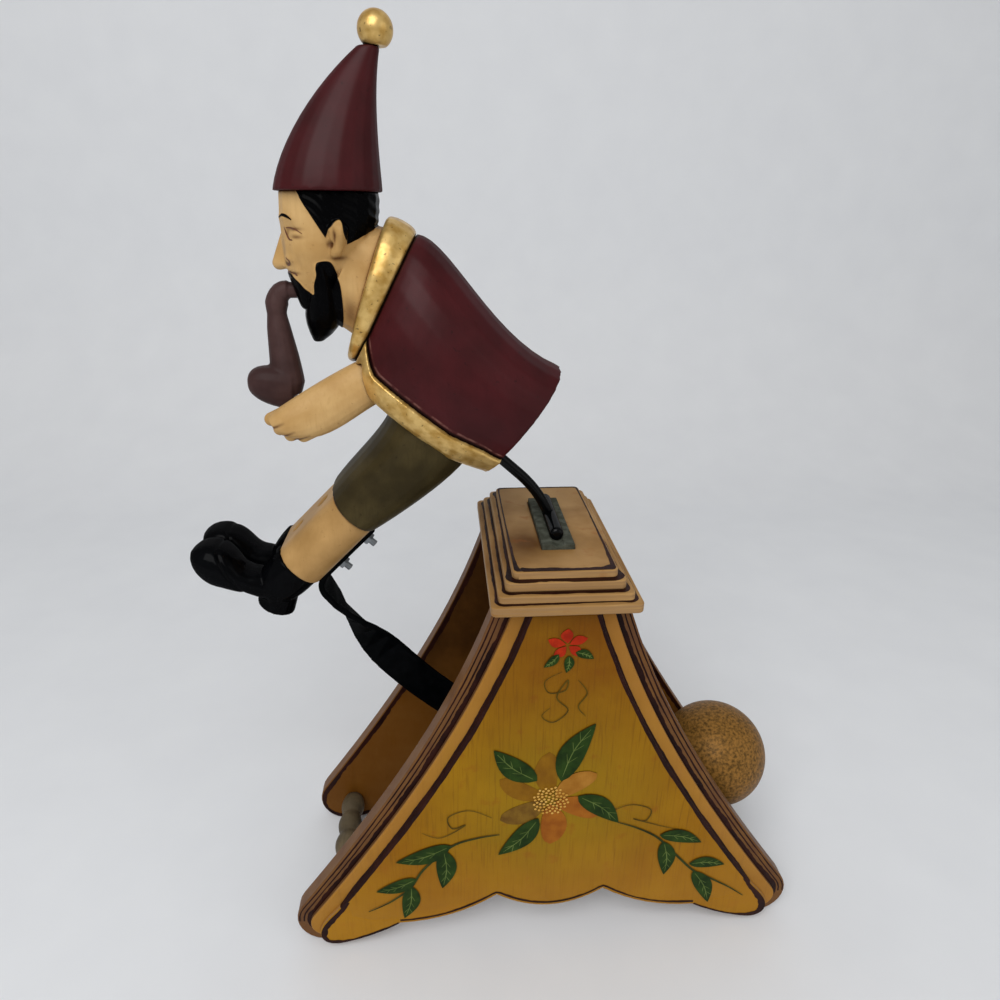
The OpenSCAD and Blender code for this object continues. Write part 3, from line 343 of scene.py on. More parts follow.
# Lying grain on the cap: rubbed nearly to the wood, with a dark stain beside the bar.
cap_paint = ochre_paint("tan_rubbed_ochre_on_pine_lying_grain", "#b08a58", "#906a38", (30, 30, 0.9), "Z",
                        (at(-15, -22, 236), 32, 1.0, "#5c3a10"), [])
FILM_GLAZE_AND_SHADE = 0.03
# Burnt umber: a thin, nearly black brown line that looks dry.
line_paint = oil_paint("burnt_umber_lining_paint", "#32160f", "#1c0a08", "#26110b", glaze_and_shade_reach=FILM_GLAZE_AND_SHADE,
                       Roughness=0.4, Specular_IOR_Level=0.08)
print("near face of the stand at y", round(near_face, 2), "mm, its inner face at", round(-inner_face, 2))

# %% [markdown]
# Sawn boards are never razor sharp once sanded and painted. The stand's boards are copies of their solids
# with welded corners and a small bevel, so light catches each edge. The bevel runs as a modifier and is
# then applied, so the mesh itself holds it.

# %% Boards with eased edges
WELD_MM = 0.01
FLAT, SHARP = math.radians(0.5), math.radians(35)


def welded(nodes):
    """A mesh of one or more nodes with their corners welded."""
    bm = bmesh.new()
    for node in nodes:
        bm.from_mesh(frame["nodes"][node].data)
    bmesh.ops.remove_doubles(bm, verts=bm.verts, dist=WELD_MM * MM)
    return bm


def apply_modifiers(piece):
    """Turns what the modifiers show into the piece's own mesh."""
    graph = bpy.context.evaluated_depsgraph_get()
    shown = bpy.data.meshes.new_from_object(piece.evaluated_get(graph))
    piece.modifiers.clear()
    piece.data = shown


def eased(node, body, material, ease):
    """A copy of a node with rounded outer edges that takes the node's place."""
    bm = welded([node])
    bmesh.ops.dissolve_limit(bm, angle_limit=FLAT, verts=bm.verts, edges=bm.edges)
    bm.normal_update()
    weight = bm.edges.layers.float.new("bevel_weight_edge")
    for edge in bm.edges:
        if edge.calc_face_angle_signed(0) > SHARP:
            edge[weight] = 1
    mesh = bpy.data.meshes.new(node + "_eased")
    bm.to_mesh(mesh)
    bm.free()
    piece = new_piece(node + "_eased", mesh, body, material)
    mesh.set_sharp_from_angle(angle=SHARP)
    bevel = piece.modifiers.new("ease", "BEVEL")
    bevel.width = ease * MM
    bevel.segments = 3
    bevel.limit_method = "WEIGHT"
    bevel.harden_normals = True
    bevel.use_clamp_overlap = False
    apply_modifiers(piece)
    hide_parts(node)


PANEL_EASE, CAP_EASE, PLATE_EASE, BAR_EASE, ROD_EASE = 1.0, 0.9, 0.5, 2.4, 0.4
for board in ("front_panel", "back_panel"):
    eased(board, STAND, panel_paint, PANEL_EASE)
for board in ("cap_base", "cap_top"):
    eased(board, STAND, cap_paint, CAP_EASE)
eased("pivot_plate", STAND, plate_enamel, PLATE_EASE)
eased("pivot_bar", ROCKER, bar_enamel, BAR_EASE)
eased("pivot_rod", ROCKER, bar_enamel, ROD_EASE)

# %% [markdown]
# Carved pieces have no sharp facets left. A voxel remesh turns a node into an even skin, and a few rounds
# of smoothing do what sandpaper does. Extra closed forms, such as fingers, can be added before the remesh
# and then belong to the same piece of wood.

# %% Carved and sanded pieces


def carved(name, nodes, body, material, grain, polish, extra=()):
    """A copy of one or more nodes, and of extra forms, as one skin of a grain in millimetres, sanded smooth."""
    bm = welded(nodes)
    for form in extra:
        bm.from_mesh(form)
    mesh = bpy.data.meshes.new(name)
    bm.to_mesh(mesh)
    bm.free()
    piece = new_piece(name, mesh, body, material)
    remesh = piece.modifiers.new("carve", "REMESH")
    remesh.mode = "VOXEL"
    remesh.voxel_size = grain * MM
    sand_down = piece.modifiers.new("sand", "SMOOTH")
    sand_down.factor = 0.5
    sand_down.iterations = polish
    apply_modifiers(piece)
    piece.data.shade_smooth()
    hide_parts(*nodes)
    return piece


cape = carved("cape_carved", ["body"], ROCKER, maroon, grain=0.7, polish=12)
carved("collar_carved", ["collar"], ROCKER, gilt, grain=0.7, polish=8)
trims = [carved(trim + "_carved", [trim], ROCKER, gilt, grain=0.5, polish=4)
         for trim in ("left_trim", "right_trim")]
carved("hat_carved", ["hat"], ROCKER, maroon, grain=0.7, polish=8)
carved("hat_ball_turned", ["hat_ball"], ROCKER, gilt, grain=0.5, polish=3)
carved("pipe_carved", ["pipe"], ROCKER, briar, grain=0.6, polish=6)
shorts = carved("shorts_carved", ["shorts"], ROCKER, olive, grain=0.8, polish=8)
legs = carved("legs_carved", ["legs"], ROCKER, darker_flesh, grain=0.7, polish=6)
boots = [carved(boot + "_carved", [boot], ROCKER, boot_black, grain=0.55, polish=12)
         for boot in ("left_boot", "right_boot")]
carved("strap_filed", ["strap"], ROCKER, black_steel, grain=0.6, polish=5)
carved("ball_turned", ["ball_left", "ball_right"], ROCKER, old_bronze, grain=0.8, polish=3)
for stretcher in ("left_stretcher", "right_stretcher"):
    carved(stretcher + "_turned", [stretcher], STAND, turned, grain=0.6, polish=4)

# %% [markdown]
# The boots get their last cuts here. The instep is hollowed, the sole arched before the heel, and the toe
# cap stands a little proud behind a seam. Each cut is a soft push at a place in side view. The two toes
# are also drawn in, until only a fine seam is left between them.

# %% Cuts of the boots
BOOT_CUTS = [  # place, reach in both directions, push upwards
    (-151.5, 229, 6, 8, -5), (-157, 204, 6, 6, 4), (-166, 209, 7, 5, 2.5)]
SEAM_TOP, SEAM_TURN = np.array((-166, 234)), np.array((0.43, -0.9))
CAP_PROUD, SEAM_DEPTH, SEAM_WIDTH = 0.5, 0.7, 0.8
TOE_START, TOE_FADE, TOE_GAP, TOE_FULL, TOE_REACH = -155, 8, 0.3, 1.4, 9


def side_view(piece):
    """Places of a piece's points in millimetres from the middle of the stand, and their normals."""
    places = np.array([p.co for p in piece.data.vertices]) / MM - np.array(at(0, 0, 0)) / MM
    return places, np.array([p.normal for p in piece.data.vertices])


def put_back(piece, places):
    """Moves a piece's points to places in millimetres from the middle of the stand."""
    piece.data.vertices.foreach_set("co", ((places + np.array(at(0, 0, 0)) / MM) * MM).ravel())
    piece.data.update()


def pushes(rows, x, z):
    """The sum of soft round pushes: each row has a place in side view, two reaches and a height."""
    return sum(h * np.exp(-((x - cx) / rx) ** 2 - ((z - cz) / rz) ** 2) for cx, cz, rx, rz, h in rows)


for boot in boots:
    places, normals = side_view(boot)
    x, y, z = places.T.copy()
    places[:, 2] += pushes(BOOT_CUTS, x, z)
    off_seam = (x - SEAM_TOP[0]) * SEAM_TURN[1] - (z - SEAM_TOP[1]) * SEAM_TURN[0]
    places += normals * (CAP_PROUD * np.clip(0.5 + off_seam, 0, 1)
                         - SEAM_DEPTH * np.exp(-(off_seam / SEAM_WIDTH) ** 2))[:, None]
    drawn_in = np.clip((TOE_START - x) / TOE_FADE, 0, 1) * np.clip(TOE_FULL - np.abs(y) / TOE_REACH, 0, 1)
    places[:, 1] -= np.sign(y) * drawn_in * np.maximum(np.abs(y) - TOE_GAP, 0)
    put_back(boot, places)
print("boots cut:", [boot.name for boot in boots])

# %% [markdown]
# Where two colours of paint meet, the painter runs a line along the joint. Each point of a piece can store
# how far it is from its neighbour, in millimetres, and the paint then changes with that distance: a dark
# line in the joint, beside the gilt trim a thin pale painted highlight on the cape's edge, and painted
# shade in the holes where the bolts go into the legs.

# %% Painted joints
SKIP_MM = 4


def store(piece, name, values):
    """Stores one number per point of a piece, which its paint reads by name."""
    piece.data.attributes.new(name, "FLOAT", "POINT").data.foreach_set("value", values)


def measure(piece, name, nodes):
    """Stores how far each point of a piece lies from other nodes, in millimetres."""
    bm = welded(nodes)
    near = BVHTree.FromBMesh(bm)
    bm.free()
    store(piece, name, [near.find_nearest(p.co)[3] / MM for p in piece.data.vertices])


def overpaint(piece, name, bands):
    """Gives a piece a copy of its paint with bands over it, each where a stored number lies in a range."""
    paint = piece.data.materials[0].copy()
    paint.name = name
    tree = paint.node_tree
    shader = tree.nodes["Principled BSDF"]
    colour = shader.inputs["Base Color"].links[0].from_socket
    place = next(n for n in tree.nodes if n.type == "TEX_COORD").outputs
    for stored, low, high, soft, share, broken, tone in bands:
        value = add_node(tree, "Attribute", attribute_name=stored).outputs["Fac"]
        rise = add_node(tree, "MapRange", {"Value": value, "From Min": low - soft, "From Max": low + soft})
        fall = add_node(tree, "MapRange", {
            "Value": value, "From Min": high + soft, "From Max": high - soft, "To Max": share})
        band = add_node(tree, "Math", {
            0: rise.outputs["Result"], 1: fall.outputs["Result"]}, operation="MULTIPLY")
        skips = add_node(tree, "TexNoise", {"Vector": place["Object"], "Scale": per_mm(SKIP_MM), "Detail": 3})
        laid = add_node(tree, "MapRange", {
            "Value": skips.outputs["Fac"], "From Min": 0.42, "From Max": 0.6, "To Min": 1 - broken})
        band = add_node(tree, "Math", {0: band.outputs["Value"], 1: laid.outputs["Result"]}, operation="MULTIPLY")
        colour = coat(tree, colour, tone, band.outputs["Value"])
    finish(tree, shader, colour)
    piece.data.materials[0] = paint
    return tree, shader


BELOW = -1
measure(cape, "trim_gap", ["left_trim", "right_trim"])
measure(cape, "collar_gap", ["collar"])
measure(shorts, "leg_gap", ["legs"])
measure(legs, "bolt_gap", ["strap_bolts"])
# Bands: stored number, its range, softness of the edges, share, how broken the line is, colour.
# The dark band round the bolts is painted shade in the bolt holes.
overpaint(legs, "darker_flesh_with_painted_shade_in_bolt_holes", [("bolt_gap", BELOW, 3.6, 0.5, 0.9, 0.0, "#2a1509")])
# On the cape, the pale broken band beside the trim is a painted highlight on the cape's edge.
overpaint(cape, "maroon_gloss_oil_with_lining_and_painted_highlight", [
    ("trim_gap", BELOW, 0.9, 0.25, 0.9, 0.0, "#140605"), ("trim_gap", 1.3, 1.9, 0.35, 0.35, 0.9, "#b88678"),
    ("collar_gap", BELOW, 1.0, 0.4, 0.9, 0.0, "#1a0a05")])
overpaint(shorts, "olive_satin_oil_with_hem_line", [("leg_gap", BELOW, 1.6, 0.5, 0.8, 0.0, "#1f0d0a")])
print("painted joints on:", [piece.name for piece in (legs, cape, shorts)])

# %% [markdown]
# The hem of the cape hangs a little lower than the plain solid, and the trims follow it. A soft push does
# this: it is full at the hem, fades above it, and dies out towards both ends of the hem.

# %% Hem of the cape
HEM_PLACE, HEM_OUT = np.array((-62, 0, 295)), np.array((-0.61, 0, -0.79))
HEM_DROP, HEM_FADE = 3.6, 20
HEM_BACK_X, HEM_FRONT_Z, HEM_END = -36, 336, 14
for piece in (cape, *trims):
    places, _ = side_view(piece)
    above = np.clip((HEM_PLACE - places) @ HEM_OUT, 0, None)
    ends = (np.clip((HEM_BACK_X - places[:, 0]) / HEM_END, 0, 1)
            * np.clip((HEM_FRONT_Z - places[:, 2]) / HEM_END, 0, 1))
    put_back(piece, places + HEM_OUT * (HEM_DROP * np.exp(-(above / HEM_FADE) ** 2) * ends)[:, None])
print("hem lowered by up to", HEM_DROP, "mm")

# %% [markdown]
# The hand holds the pipe with four fingers, whose rounded ends show as a row of bumps under the bowl. Each
# is a small capsule; the remesh grows them into the hand. The creases between them get painted shade, laid
# with stored numbers as the joints are.

# %% Arm and fingers


def capsule(start, end, radius, rings=6, sides=14):
    """A closed rounded bar between two places."""
    axis = (end - start).normalized()
    side = axis.cross(Vector((0, 1, 0))).normalized()
    other = axis.cross(side)
    bm = bmesh.new()
    quarter = [math.pi / 2 * k / rings for k in range(1, rings + 1)]
    stations = [(start, -math.cos(a), math.sin(a)) for a in quarter]
    stations += [(end, math.cos(a), math.sin(a)) for a in reversed(quarter)]
    turns = [2 * math.pi * i / sides for i in range(sides)]
    loops = []
    for centre, along, out in stations:
        spokes = [side * math.cos(t) + other * math.sin(t) for t in turns]
        loops.append([bm.verts.new(centre + radius * (axis * along + out * spoke)) for spoke in spokes])
    for a, b in zip(loops, loops[1:]):
        for i in range(sides):
            bm.faces.new((a[i], a[(i + 1) % sides], b[(i + 1) % sides], b[i]))
    bm.faces.new(reversed(loops[0]))
    bm.faces.new(loops[-1])
    bmesh.ops.recalc_face_normals(bm, faces=bm.faces)
    mesh = bpy.data.meshes.new("capsule")
    bm.to_mesh(mesh)
    bm.free()
    return mesh


FINGER_TIPS = [(-130.8, 300.2), (-127.4, 295.8), (-122.9, 292.9), (-117.3, 292.4)]
FINGER_Y, FINGER_R, FINGER_LONG, FINGER_IN, FINGER_RISE = -22, 3.1, 11, 1, 5
CREASES = [(-131.2, 297), (-126.9, 293), (-121, 290.6)]
CREASE_X, CREASE_Z = 0.91, 0.41  # the way that a crease runs
CREASE_LONG, CREASE_FADE, CREASE_WIDTH, PALM_Y = 8, 10, 0.6, -17
OPEN_END = 9
fingers = [capsule(at(x, FINGER_Y, z), at(x + FINGER_LONG, FINGER_Y + FINGER_IN, z + FINGER_RISE), FINGER_R * MM)
           for x, z in FINGER_TIPS]
arm = carved("arm_carved", ["arm"], ROCKER, flesh, grain=0.5, polish=3, extra=fingers)
points, _ = side_view(arm)
# The creases between the fingers get painted shade, darkest at each notch and fading inwards.
crease_shade = np.zeros(len(points))
for x, z in CREASES:
    along = np.clip((points[:, 0] - x) * CREASE_X + (points[:, 2] - z) * CREASE_Z, 0, CREASE_LONG)
    gap = np.hypot(points[:, 0] - x - CREASE_X * along, points[:, 2] - z - CREASE_Z * along)
    crease_shade = np.maximum(crease_shade, np.exp(-(gap / CREASE_WIDTH) ** 2) * (1 - along / CREASE_FADE))
store(arm, "crease_shade", crease_shade * (points[:, 1] < PALM_Y))
overpaint(arm, "flesh_oil_with_painted_shade_in_finger_creases", [("crease_shade", 0.3, OPEN_END, 0.3, 0.85, 0.0, "#4a240e")])
print("fingers:", len(fingers), "creases:", len(CREASES))

# %% [markdown]
# The head is one piece of wood, carved finer than the rest. Its outlines are curves through a few places in
# side view. For every point of the head, numpy works out how far inside an outline it lies, so the edge of
# the hair is as smooth as the curve itself.

# %% Outlines of hair, beard and ear
HAIR = [(-112, 400), (-111, 392), (-107, 385), (-102, 377), (-98.5, 371.5), (-93, 373.5), (-87, 376.5),
        (-80, 381), (-74, 388), (-74, 400)]
BEARD = [(-105.4, 366.4), (-100.5, 366.5), (-98.6, 362), (-97, 355), (-97.2, 343), (-100, 336), (-109, 326),
         (-117, 333), (-119, 346), (-125, 356), (-124, 361.5), (-119, 361.4), (-115.3, 358.6), (-112.2, 355.2),
         (-108.6, 353), (-108, 357), (-106.6, 361), (-106.6, 364)]
EAR = [(-101.2, 376.5), (-98.6, 380), (-95, 382.8), (-93.6, 378), (-93.2, 373), (-95, 369.5), (-98, 367.6),
       (-100, 369.5), (-101.4, 373)]


def curve_through(points, steps=6, closed=False):
    """A smooth row of places through a few chosen ones."""
    last = len(points) - 1
    rows = []
    for i in range(last + closed):
        p0, p1, p2, p3 = (points[k % len(points) if closed else min(max(k, 0), last)]
                          for k in range(i - 1, i + 3))
        for t in (k / steps for k in range(steps)):
            rows.append(0.5 * (2 * p1 + (p2 - p0) * t + (2 * p0 - 5 * p1 + 4 * p2 - p3) * t * t
                               + (3 * p1 - p0 - 3 * p2 + p3) * t ** 3))
    return rows if closed else rows + [points[-1]]


def inside_by(outline, x, z):
    """How far inside a curved outline each place lies, in millimetres. Outside it is negative."""
    rim = curve_through([Vector(p) for p in outline], closed=True)
    gap, odd = np.full(len(x), np.inf), np.zeros(len(x), bool)
    for (x0, z0), (x1, z1) in zip(rim, rim[1:] + rim[:1]):
        dx, dz = x1 - x0, z1 - z0
        share = np.clip(((x - x0) * dx + (z - z0) * dz) / (dx * dx + dz * dz), 0, 1)
        gap = np.minimum(gap, np.hypot(x - x0 - share * dx, z - z0 - share * dz))
        crossed = (z0 > z) != (z1 > z)
        odd[crossed] ^= x[crossed] < x0 + dx * (z[crossed] - z0) / dz
    return np.where(odd, gap, -gap)


print("outlines of the head:", len(HAIR), len(BEARD), len(EAR), "places")

# %% [markdown]
# Carving the face: each entry is a soft push along the surface, at a place in side view, with its reach in
# both directions and its height. Hollows are negative. Hair stands half a millimetre proud and has wavy
# gouge cuts. The ear lies over the hair and keeps the skin's colour. Shades are brown round the features:
# partly a brown glaze, mostly painted shade in their hollows.

# %% Head, hair and beard
RELIEF = [
    (-116.2, 378.4, 4.2, 2.6, -1.3), (-114.6, 377.7, 2.6, 1.3, 1.0), (-118, 383.6, 4.5, 1.5, 0.6),
    (-109, 371, 6, 5, 0.7), (-114.2, 364.8, 1.2, 3.0, -0.6), (-118.4, 367.3, 1.9, 1.7, 0.9),
    (-119.6, 363.3, 2.2, 0.9, 0.5), (-118.4, 361.2, 3.0, 0.6, -0.6), (-117.6, 359.2, 2.4, 1.1, 0.6),
    (-107, 384, 5, 5, -0.4), (-97.3, 376.3, 1.2, 3.4, -1.5), (-99.6, 373.4, 1.2, 1.4, -1.4),
    (-96, 370.5, 1.8, 1.4, 0.5), (-94.4, 376.5, 0.9, 5.0, 0.7),
]
# Brown round the features: mostly painted shade in the hollows of the eyes, nose, ear and lip, and low on the neck.
SHADES = [  # place, reach in both directions, strength
    (-118.2, 377.6, 0.9, 1.8, 0.35), (-114.6, 379.2, 3.2, 0.7, 0.6), (-113.6, 376.1, 2.6, 0.7, 0.5),
    (-119.4, 365.3, 1.5, 0.8, 0.9), (-120.4, 371.5, 0.7, 4.5, 0.22), (-99.6, 373.2, 1.0, 1.3, 0.9),
    (-97.7, 376.6, 0.6, 3.2, 0.6), (-97, 368, 3, 0.9, 0.6), (-94, 345, 3, 6, 0.4), (-117, 361.4, 3, 0.7, 0.5),
]
FULL_BEARD = (-114.5, 345, 5, 9, 1.6)
EAR_BASE, EAR_TIP, EAR_TIP_R, EAR_Y = (-96.4, 18.6, 377.5), (-95.2, 19.6, 381.6), 1.5, 16
HAIR_EDGE, HAIR_PROUD, GOUGE = 0.7, 0.5, 0.16
MIDDLE_FADE, MIDDLE_CLEAR, FAR_OUT = 4, 2, -9
ear_tips = [capsule(at(EAR_BASE[0], side * EAR_BASE[1], EAR_BASE[2]), at(EAR_TIP[0], side * EAR_TIP[1], EAR_TIP[2]),
                    EAR_TIP_R * MM) for side in (-1, 1)]
head = carved("head_carved", ["head"], ROCKER, flesh, grain=0.45, polish=9, extra=ear_tips)
points, normals = side_view(head)
x, y, z = points.T
in_ear = np.where(np.abs(y) > EAR_Y, inside_by(EAR, x, z), FAR_OUT)
in_hair = np.minimum(inside_by(HAIR, x, z), -in_ear)
hair, beard = (np.clip(0.5 + gap / HAIR_EDGE, 0, 1) for gap in (in_hair, inside_by(BEARD, x, z)))
covered = np.maximum(hair, beard)
waves = np.sin(1.5 * z + 1.1 * x + 1.2 * np.sin(0.35 * x - 0.2 * z))
push = pushes(RELIEF, x, z) * (1 - covered) * np.clip(np.abs(y) / MIDDLE_FADE, 0, 1)
push += beard * pushes([FULL_BEARD], x, z)
push += hair * (HAIR_PROUD + GOUGE * waves) + HAIR_PROUD * beard
put_back(head, points + normals * push[:, None])
store(head, "hair", covered)
store(head, "shade", np.clip(pushes(SHADES, x, z), 0, 1) * (np.abs(y) > MIDDLE_CLEAR))
print("points of hair and beard:", int((covered > 0.5).sum()), "of", len(points))

# %% [markdown]
# Head paint: the flesh paint again, with brown in the shades, mostly painted shade, and black gloss enamel
# wherever the hair mask is set. The enamel is smoother than the flesh, so the mask drives the gloss as well.

# %% Head paint
tree, shader = overpaint(head, "flesh_oil_with_painted_shade_and_black_enamel_on_lime", [
    ("shade", 0.3, OPEN_END, 0.3, 0.9, 0.0, "#4e2810"), ("hair", 0.5, OPEN_END, 0.15, 1.0, 0.0, "#030304")])
mask = add_node(tree, "Attribute", attribute_name="hair")
for socket, on_skin, on_hair in (("Roughness", 0.45, 0.24), ("Specular IOR Level", 0.15, 0.03)):
    polish = add_node(tree, "MapRange", {"Value": mask.outputs["Fac"], "To Min": on_skin, "To Max": on_hair})
    tree.links.new(polish.outputs["Result"], shader.inputs[socket])
print("head painted with", head.data.materials[0].name)

# %% [markdown]
# Painted strokes lie on a surface as a thin film. A stroke is a ribbon: each place along it is found by a
# ray against the surface below, and the film stands a tenth of a millimetre proud. Steps of a hundredth
# keep a film that crosses itself from lying in one plane twice. This serves the brows and eyelids on the
# face, and the lines, stems and veins on the stand.

# %% Brush strokes
FILM, TOOTH, TEETH = 0.12, 0.08, 7
RAY_START = 200


def ribbon(bm, places, normals, widths):
    """Adds a flat film along a row of places on a surface. An edge that would fold back waits in its corner."""
    pairs = []
    for i, (place, normal) in enumerate(zip(places, normals)):
        ahead = places[min(i + 1, len(places) - 1)] - places[max(i - 1, 0)]
        side = normal.cross(ahead).normalized() * widths[i] / 2 * MM
        lift = normal * FILM * (1 + TOOTH * (i % TEETH)) * MM
        pair = []
        for k, edge in enumerate((place - side + lift, place + side + lift)):
            waits = pairs and (edge - pairs[-1][k].co).dot(ahead) <= 0
            pair.append(pairs[-1][k] if waits else bm.verts.new(edge))
        pairs.append(pair)
    for (a, b), (c, d) in zip(pairs, pairs[1:]):
        corners = list(dict.fromkeys((a, c, d, b)))
        if len(corners) > 2:
            bm.faces.new(corners)


def stroke(bm, surface, points, width, side):
    """Paints a stroke through side-view places onto the surface that a ray along Y meets."""
    row = curve_through([Vector((x, 0, z)) for x, z in points])
    places, normals, widths = [], [], []
    for i, spot in enumerate(row):
        place, normal, _, _ = surface.ray_cast(at(spot.x, side * RAY_START, spot.z), Vector((0, -side, 0)))
        if place is not None:
            places.append(place)
            normals.append(normal)
            widths.append(width * (0.35 + 0.65 * math.sin(math.pi * i / (len(row) - 1))))
    if len(places) > 1:
        ribbon(bm, places, normals, widths)


def surface_of(piece):
    """A search tree of a piece's surface."""
    bm = bmesh.new()
    bm.from_mesh(piece.data)
    tree = BVHTree.FromBMesh(bm)
    bm.free()
    return tree


def painted(name, bm, body, material):
    """Makes a piece from a mesh in the making."""
    mesh = bpy.data.meshes.new(name)
    bm.to_mesh(mesh)
    bm.free()
    new_piece(name, mesh, body, material)
    print(name, "has", len(mesh.polygons), "faces")


# %% [markdown]
# The face: a dark brow, lidded eyes that look down, a nostril and a lip line. They are strokes on the
# carved head, in the same places on both sides.

# %% Face
BROW = [(-121.6, 383.6), (-119.5, 384.6), (-117, 384), (-115, 382.8)]
BROW_WIDTH = 1.2
SIENNA_STROKES = [  # places, width
    ([(-118.4, 379.6), (-116.4, 379.7), (-113.8, 379), (-110.8, 377.4)], 0.5),  # upper lid
    ([(-121.5, 361.6), (-118.5, 361.8), (-115.2, 360.6)], 0.9),  # lip
    ([(-119.6, 367.8), (-118.2, 366.5), (-118.3, 365), (-119.8, 364.5)], 0.7),  # nostril
    ([(-119.2, 380), (-118.3, 377.4), (-117, 375.2), (-115.4, 374.9)], 0.7),  # corner of the eye
]
face_surface = surface_of(head)
brow_film, sienna_film = bmesh.new(), bmesh.new()
for side in (-1, 1):
    stroke(brow_film, face_surface, BROW, BROW_WIDTH, side)
    for row, width in SIENNA_STROKES:
        stroke(sienna_film, face_surface, row, width, side)
painted("brows_painted", brow_film, ROCKER, boot_black)
# Burnt sienna: a warm brown line, softer than black on flesh.
sienna = oil_paint("burnt_sienna_line_paint", "#6b3a1c", "#532714", "#3a1a0c", glaze_and_shade_reach=FILM_GLAZE_AND_SHADE, Roughness=0.4)
painted("eyelids_and_lips_painted", sienna_film, ROCKER, sienna)

# %% [markdown]
# The stand is lined out in burnt umber: a hand-painted line along each step of the moulding. The rims of
# the steps come from the boards themselves, so each line follows its edge.

# %% Rims of the steps


def turned_inward(rim, axis):
    """The rim in the order in which its inside lies to the left, seen against the axis."""
    area = sum((a.cross(b)).dot(axis) for a, b in zip(rim, rim[1:] + rim[:1]))
    return rim if area > 0 else rim[::-1]


def rims(node, axis, steps_down):
    """The closed rims of one step of a board, longest first, for a facing direction and a count of steps."""
    bm = welded([node])
    bm.normal_update()
    flat = [f for f in bm.faces if f.normal.dot(axis) > 0.99]
    levels = sorted({round(f.calc_center_median().dot(axis), 5) for f in flat}, reverse=True)
    chosen = {f for f in flat if abs(f.calc_center_median().dot(axis) - levels[steps_down]) < WELD_MM * MM}
    links = {}
    for edge in bm.edges:
        if sum(f in chosen for f in edge.link_faces) == 1:
            a, b = edge.verts
            links.setdefault(a, []).append(b)
            links.setdefault(b, []).append(a)
    loops = []
    while links:
        loop, here = [], next(iter(links))
        while here in links:
            loop.append(here.co.copy())
            onward = [v for v in links.pop(here) if v in links]
            here = onward[0] if onward else None
        loops.append(turned_inward(loop, axis))
    bm.free()
    return sorted(loops, key=len, reverse=True)


def sides_of(rim, foot):
    """The two side runs of a panel's rim down to a height in millimetres, in the rim's own order."""
    peak = max(p.z for p in rim) - 0.5 * MM
    first = next(i for i, p in enumerate(rim) if p.z > peak)
    ring = rim[first:] + rim[:first + 1]
    runs, run = [], []
    for before, p in zip(ring, ring[1:]):
        if foot * MM <= p.z <= peak:
            run += [before, p] if not run and before.z > peak else [p]
        elif run:
            runs.append(run + [p] if p.z > peak else run)
            run = []
    return [run for run in runs if max(p.z for p in run) > peak / 2]


print("corners of the field's rim:", len(rims("front_panel", Vector((0, -1, 0)), 0)[0]))

# %% [markdown]
# A lining brush is drawn along the edge by hand, so its line wavers: slowly as the arm moves, quickly as
# the hand does, and it spreads where it turns a corner. Noise at the real place gives the same waver in
# every run. One line also climbs over the eased edge of the field's step, as thick paint does.

# %% Lining brush
LINE_STEP, TURN_STEPS = 1.2, 6
SLOW_MM, QUICK_MM, SLOW_SHARE = 17, 3, 0.7
STEADY, WAVER, LEAST = 0.85, 0.6, 0.05
LOBE_START, LOBE_FADE = 32, 12


def even_steps(corners, step):
    """A row of places a fixed distance apart along a line of corners."""
    out, left = [], 0.0
    for a, b in zip(corners, corners[1:]):
        length = (b - a).length
        while left < length:
            out.append(a.lerp(b, left / length))
            left += step * MM
        left -= length
    return out


def wavering(place, seed):
    """The share of its width that a line has at a place."""
    slow = noise.noise(place * per_mm(SLOW_MM) + Vector((seed, 0, 0)))
    quick = noise.noise(place * per_mm(QUICK_MM) + Vector((0, seed, 0)))
    return STEADY + WAVER * (SLOW_SHARE * slow + (1 - SLOW_SHARE) * quick)


def inward_at(places, i, axis):
    """The direction from a rim to its inside, at one of its places."""
    ahead = places[min(i + 1, len(places) - 1)] - places[max(i - 1, 0)]
    return axis.cross(ahead).normalized()


def lining(bm, run, axis, inset, width, seed, drop=0.0, corner=0.0, side_share=1.0, most=math.inf):
    """A wavering painted line beside a run of a rim: inside it, or outside it for a negative inset."""
    places = even_steps(run, LINE_STEP)
    way = 1 if inset > 0 else -1
    shifted, widths = [], []
    for i, place in enumerate(places):
        ahead = places[min(i + TURN_STEPS, len(places) - 1)] - place
        behind = place - places[max(i - TURN_STEPS, 0)]
        turn = ahead.angle(behind, 0.0) if ahead.length and behind.length else 0.0
        inward = inward_at(places, i, axis)
        share = side_share + (1 - side_share) * abs(inward.y)
        wide = (width(place) if callable(width) else width) * share
        w = min(max(wide * (wavering(place, seed) + corner * turn), LEAST), most)
        shifted.append(place + (inward * (inset + way * w / 2) - axis * drop) * MM)
        widths.append(w)
    ribbon(bm, shifted, [axis] * len(places), widths)


def step_lining(bm, run, axis, outside, inside, drop, seed):
    """A painted line that climbs over the eased edge of a step: below it, up its wall and onto its top."""
    places = even_steps(run, LINE_STEP)
    rows = []
    for i, place in enumerate(places):
        inward = inward_at(places, i, axis)
        thin_out = min(1, max(0, place.z / MM - LOBE_START) / LOBE_FADE)
        low = outside * wavering(place, seed) * thin_out
        high = inside * wavering(place, seed + 4)
        section = [(-low, -drop), (-FILM, -drop), (-FILM, -PANEL_EASE),
                   (0.3 * PANEL_EASE, -0.3 * PANEL_EASE + FILM), (PANEL_EASE, 0), (PANEL_EASE + high, 0)]
        rows.append([bm.verts.new(place + (inward * across + axis * (height + FILM)) * MM)
                     for across, height in section])
    for a, b in zip(rows, rows[1:]):
        for k in range(len(a) - 1):
            bm.faces.new((a[k], b[k], b[k + 1], a[k + 1]))


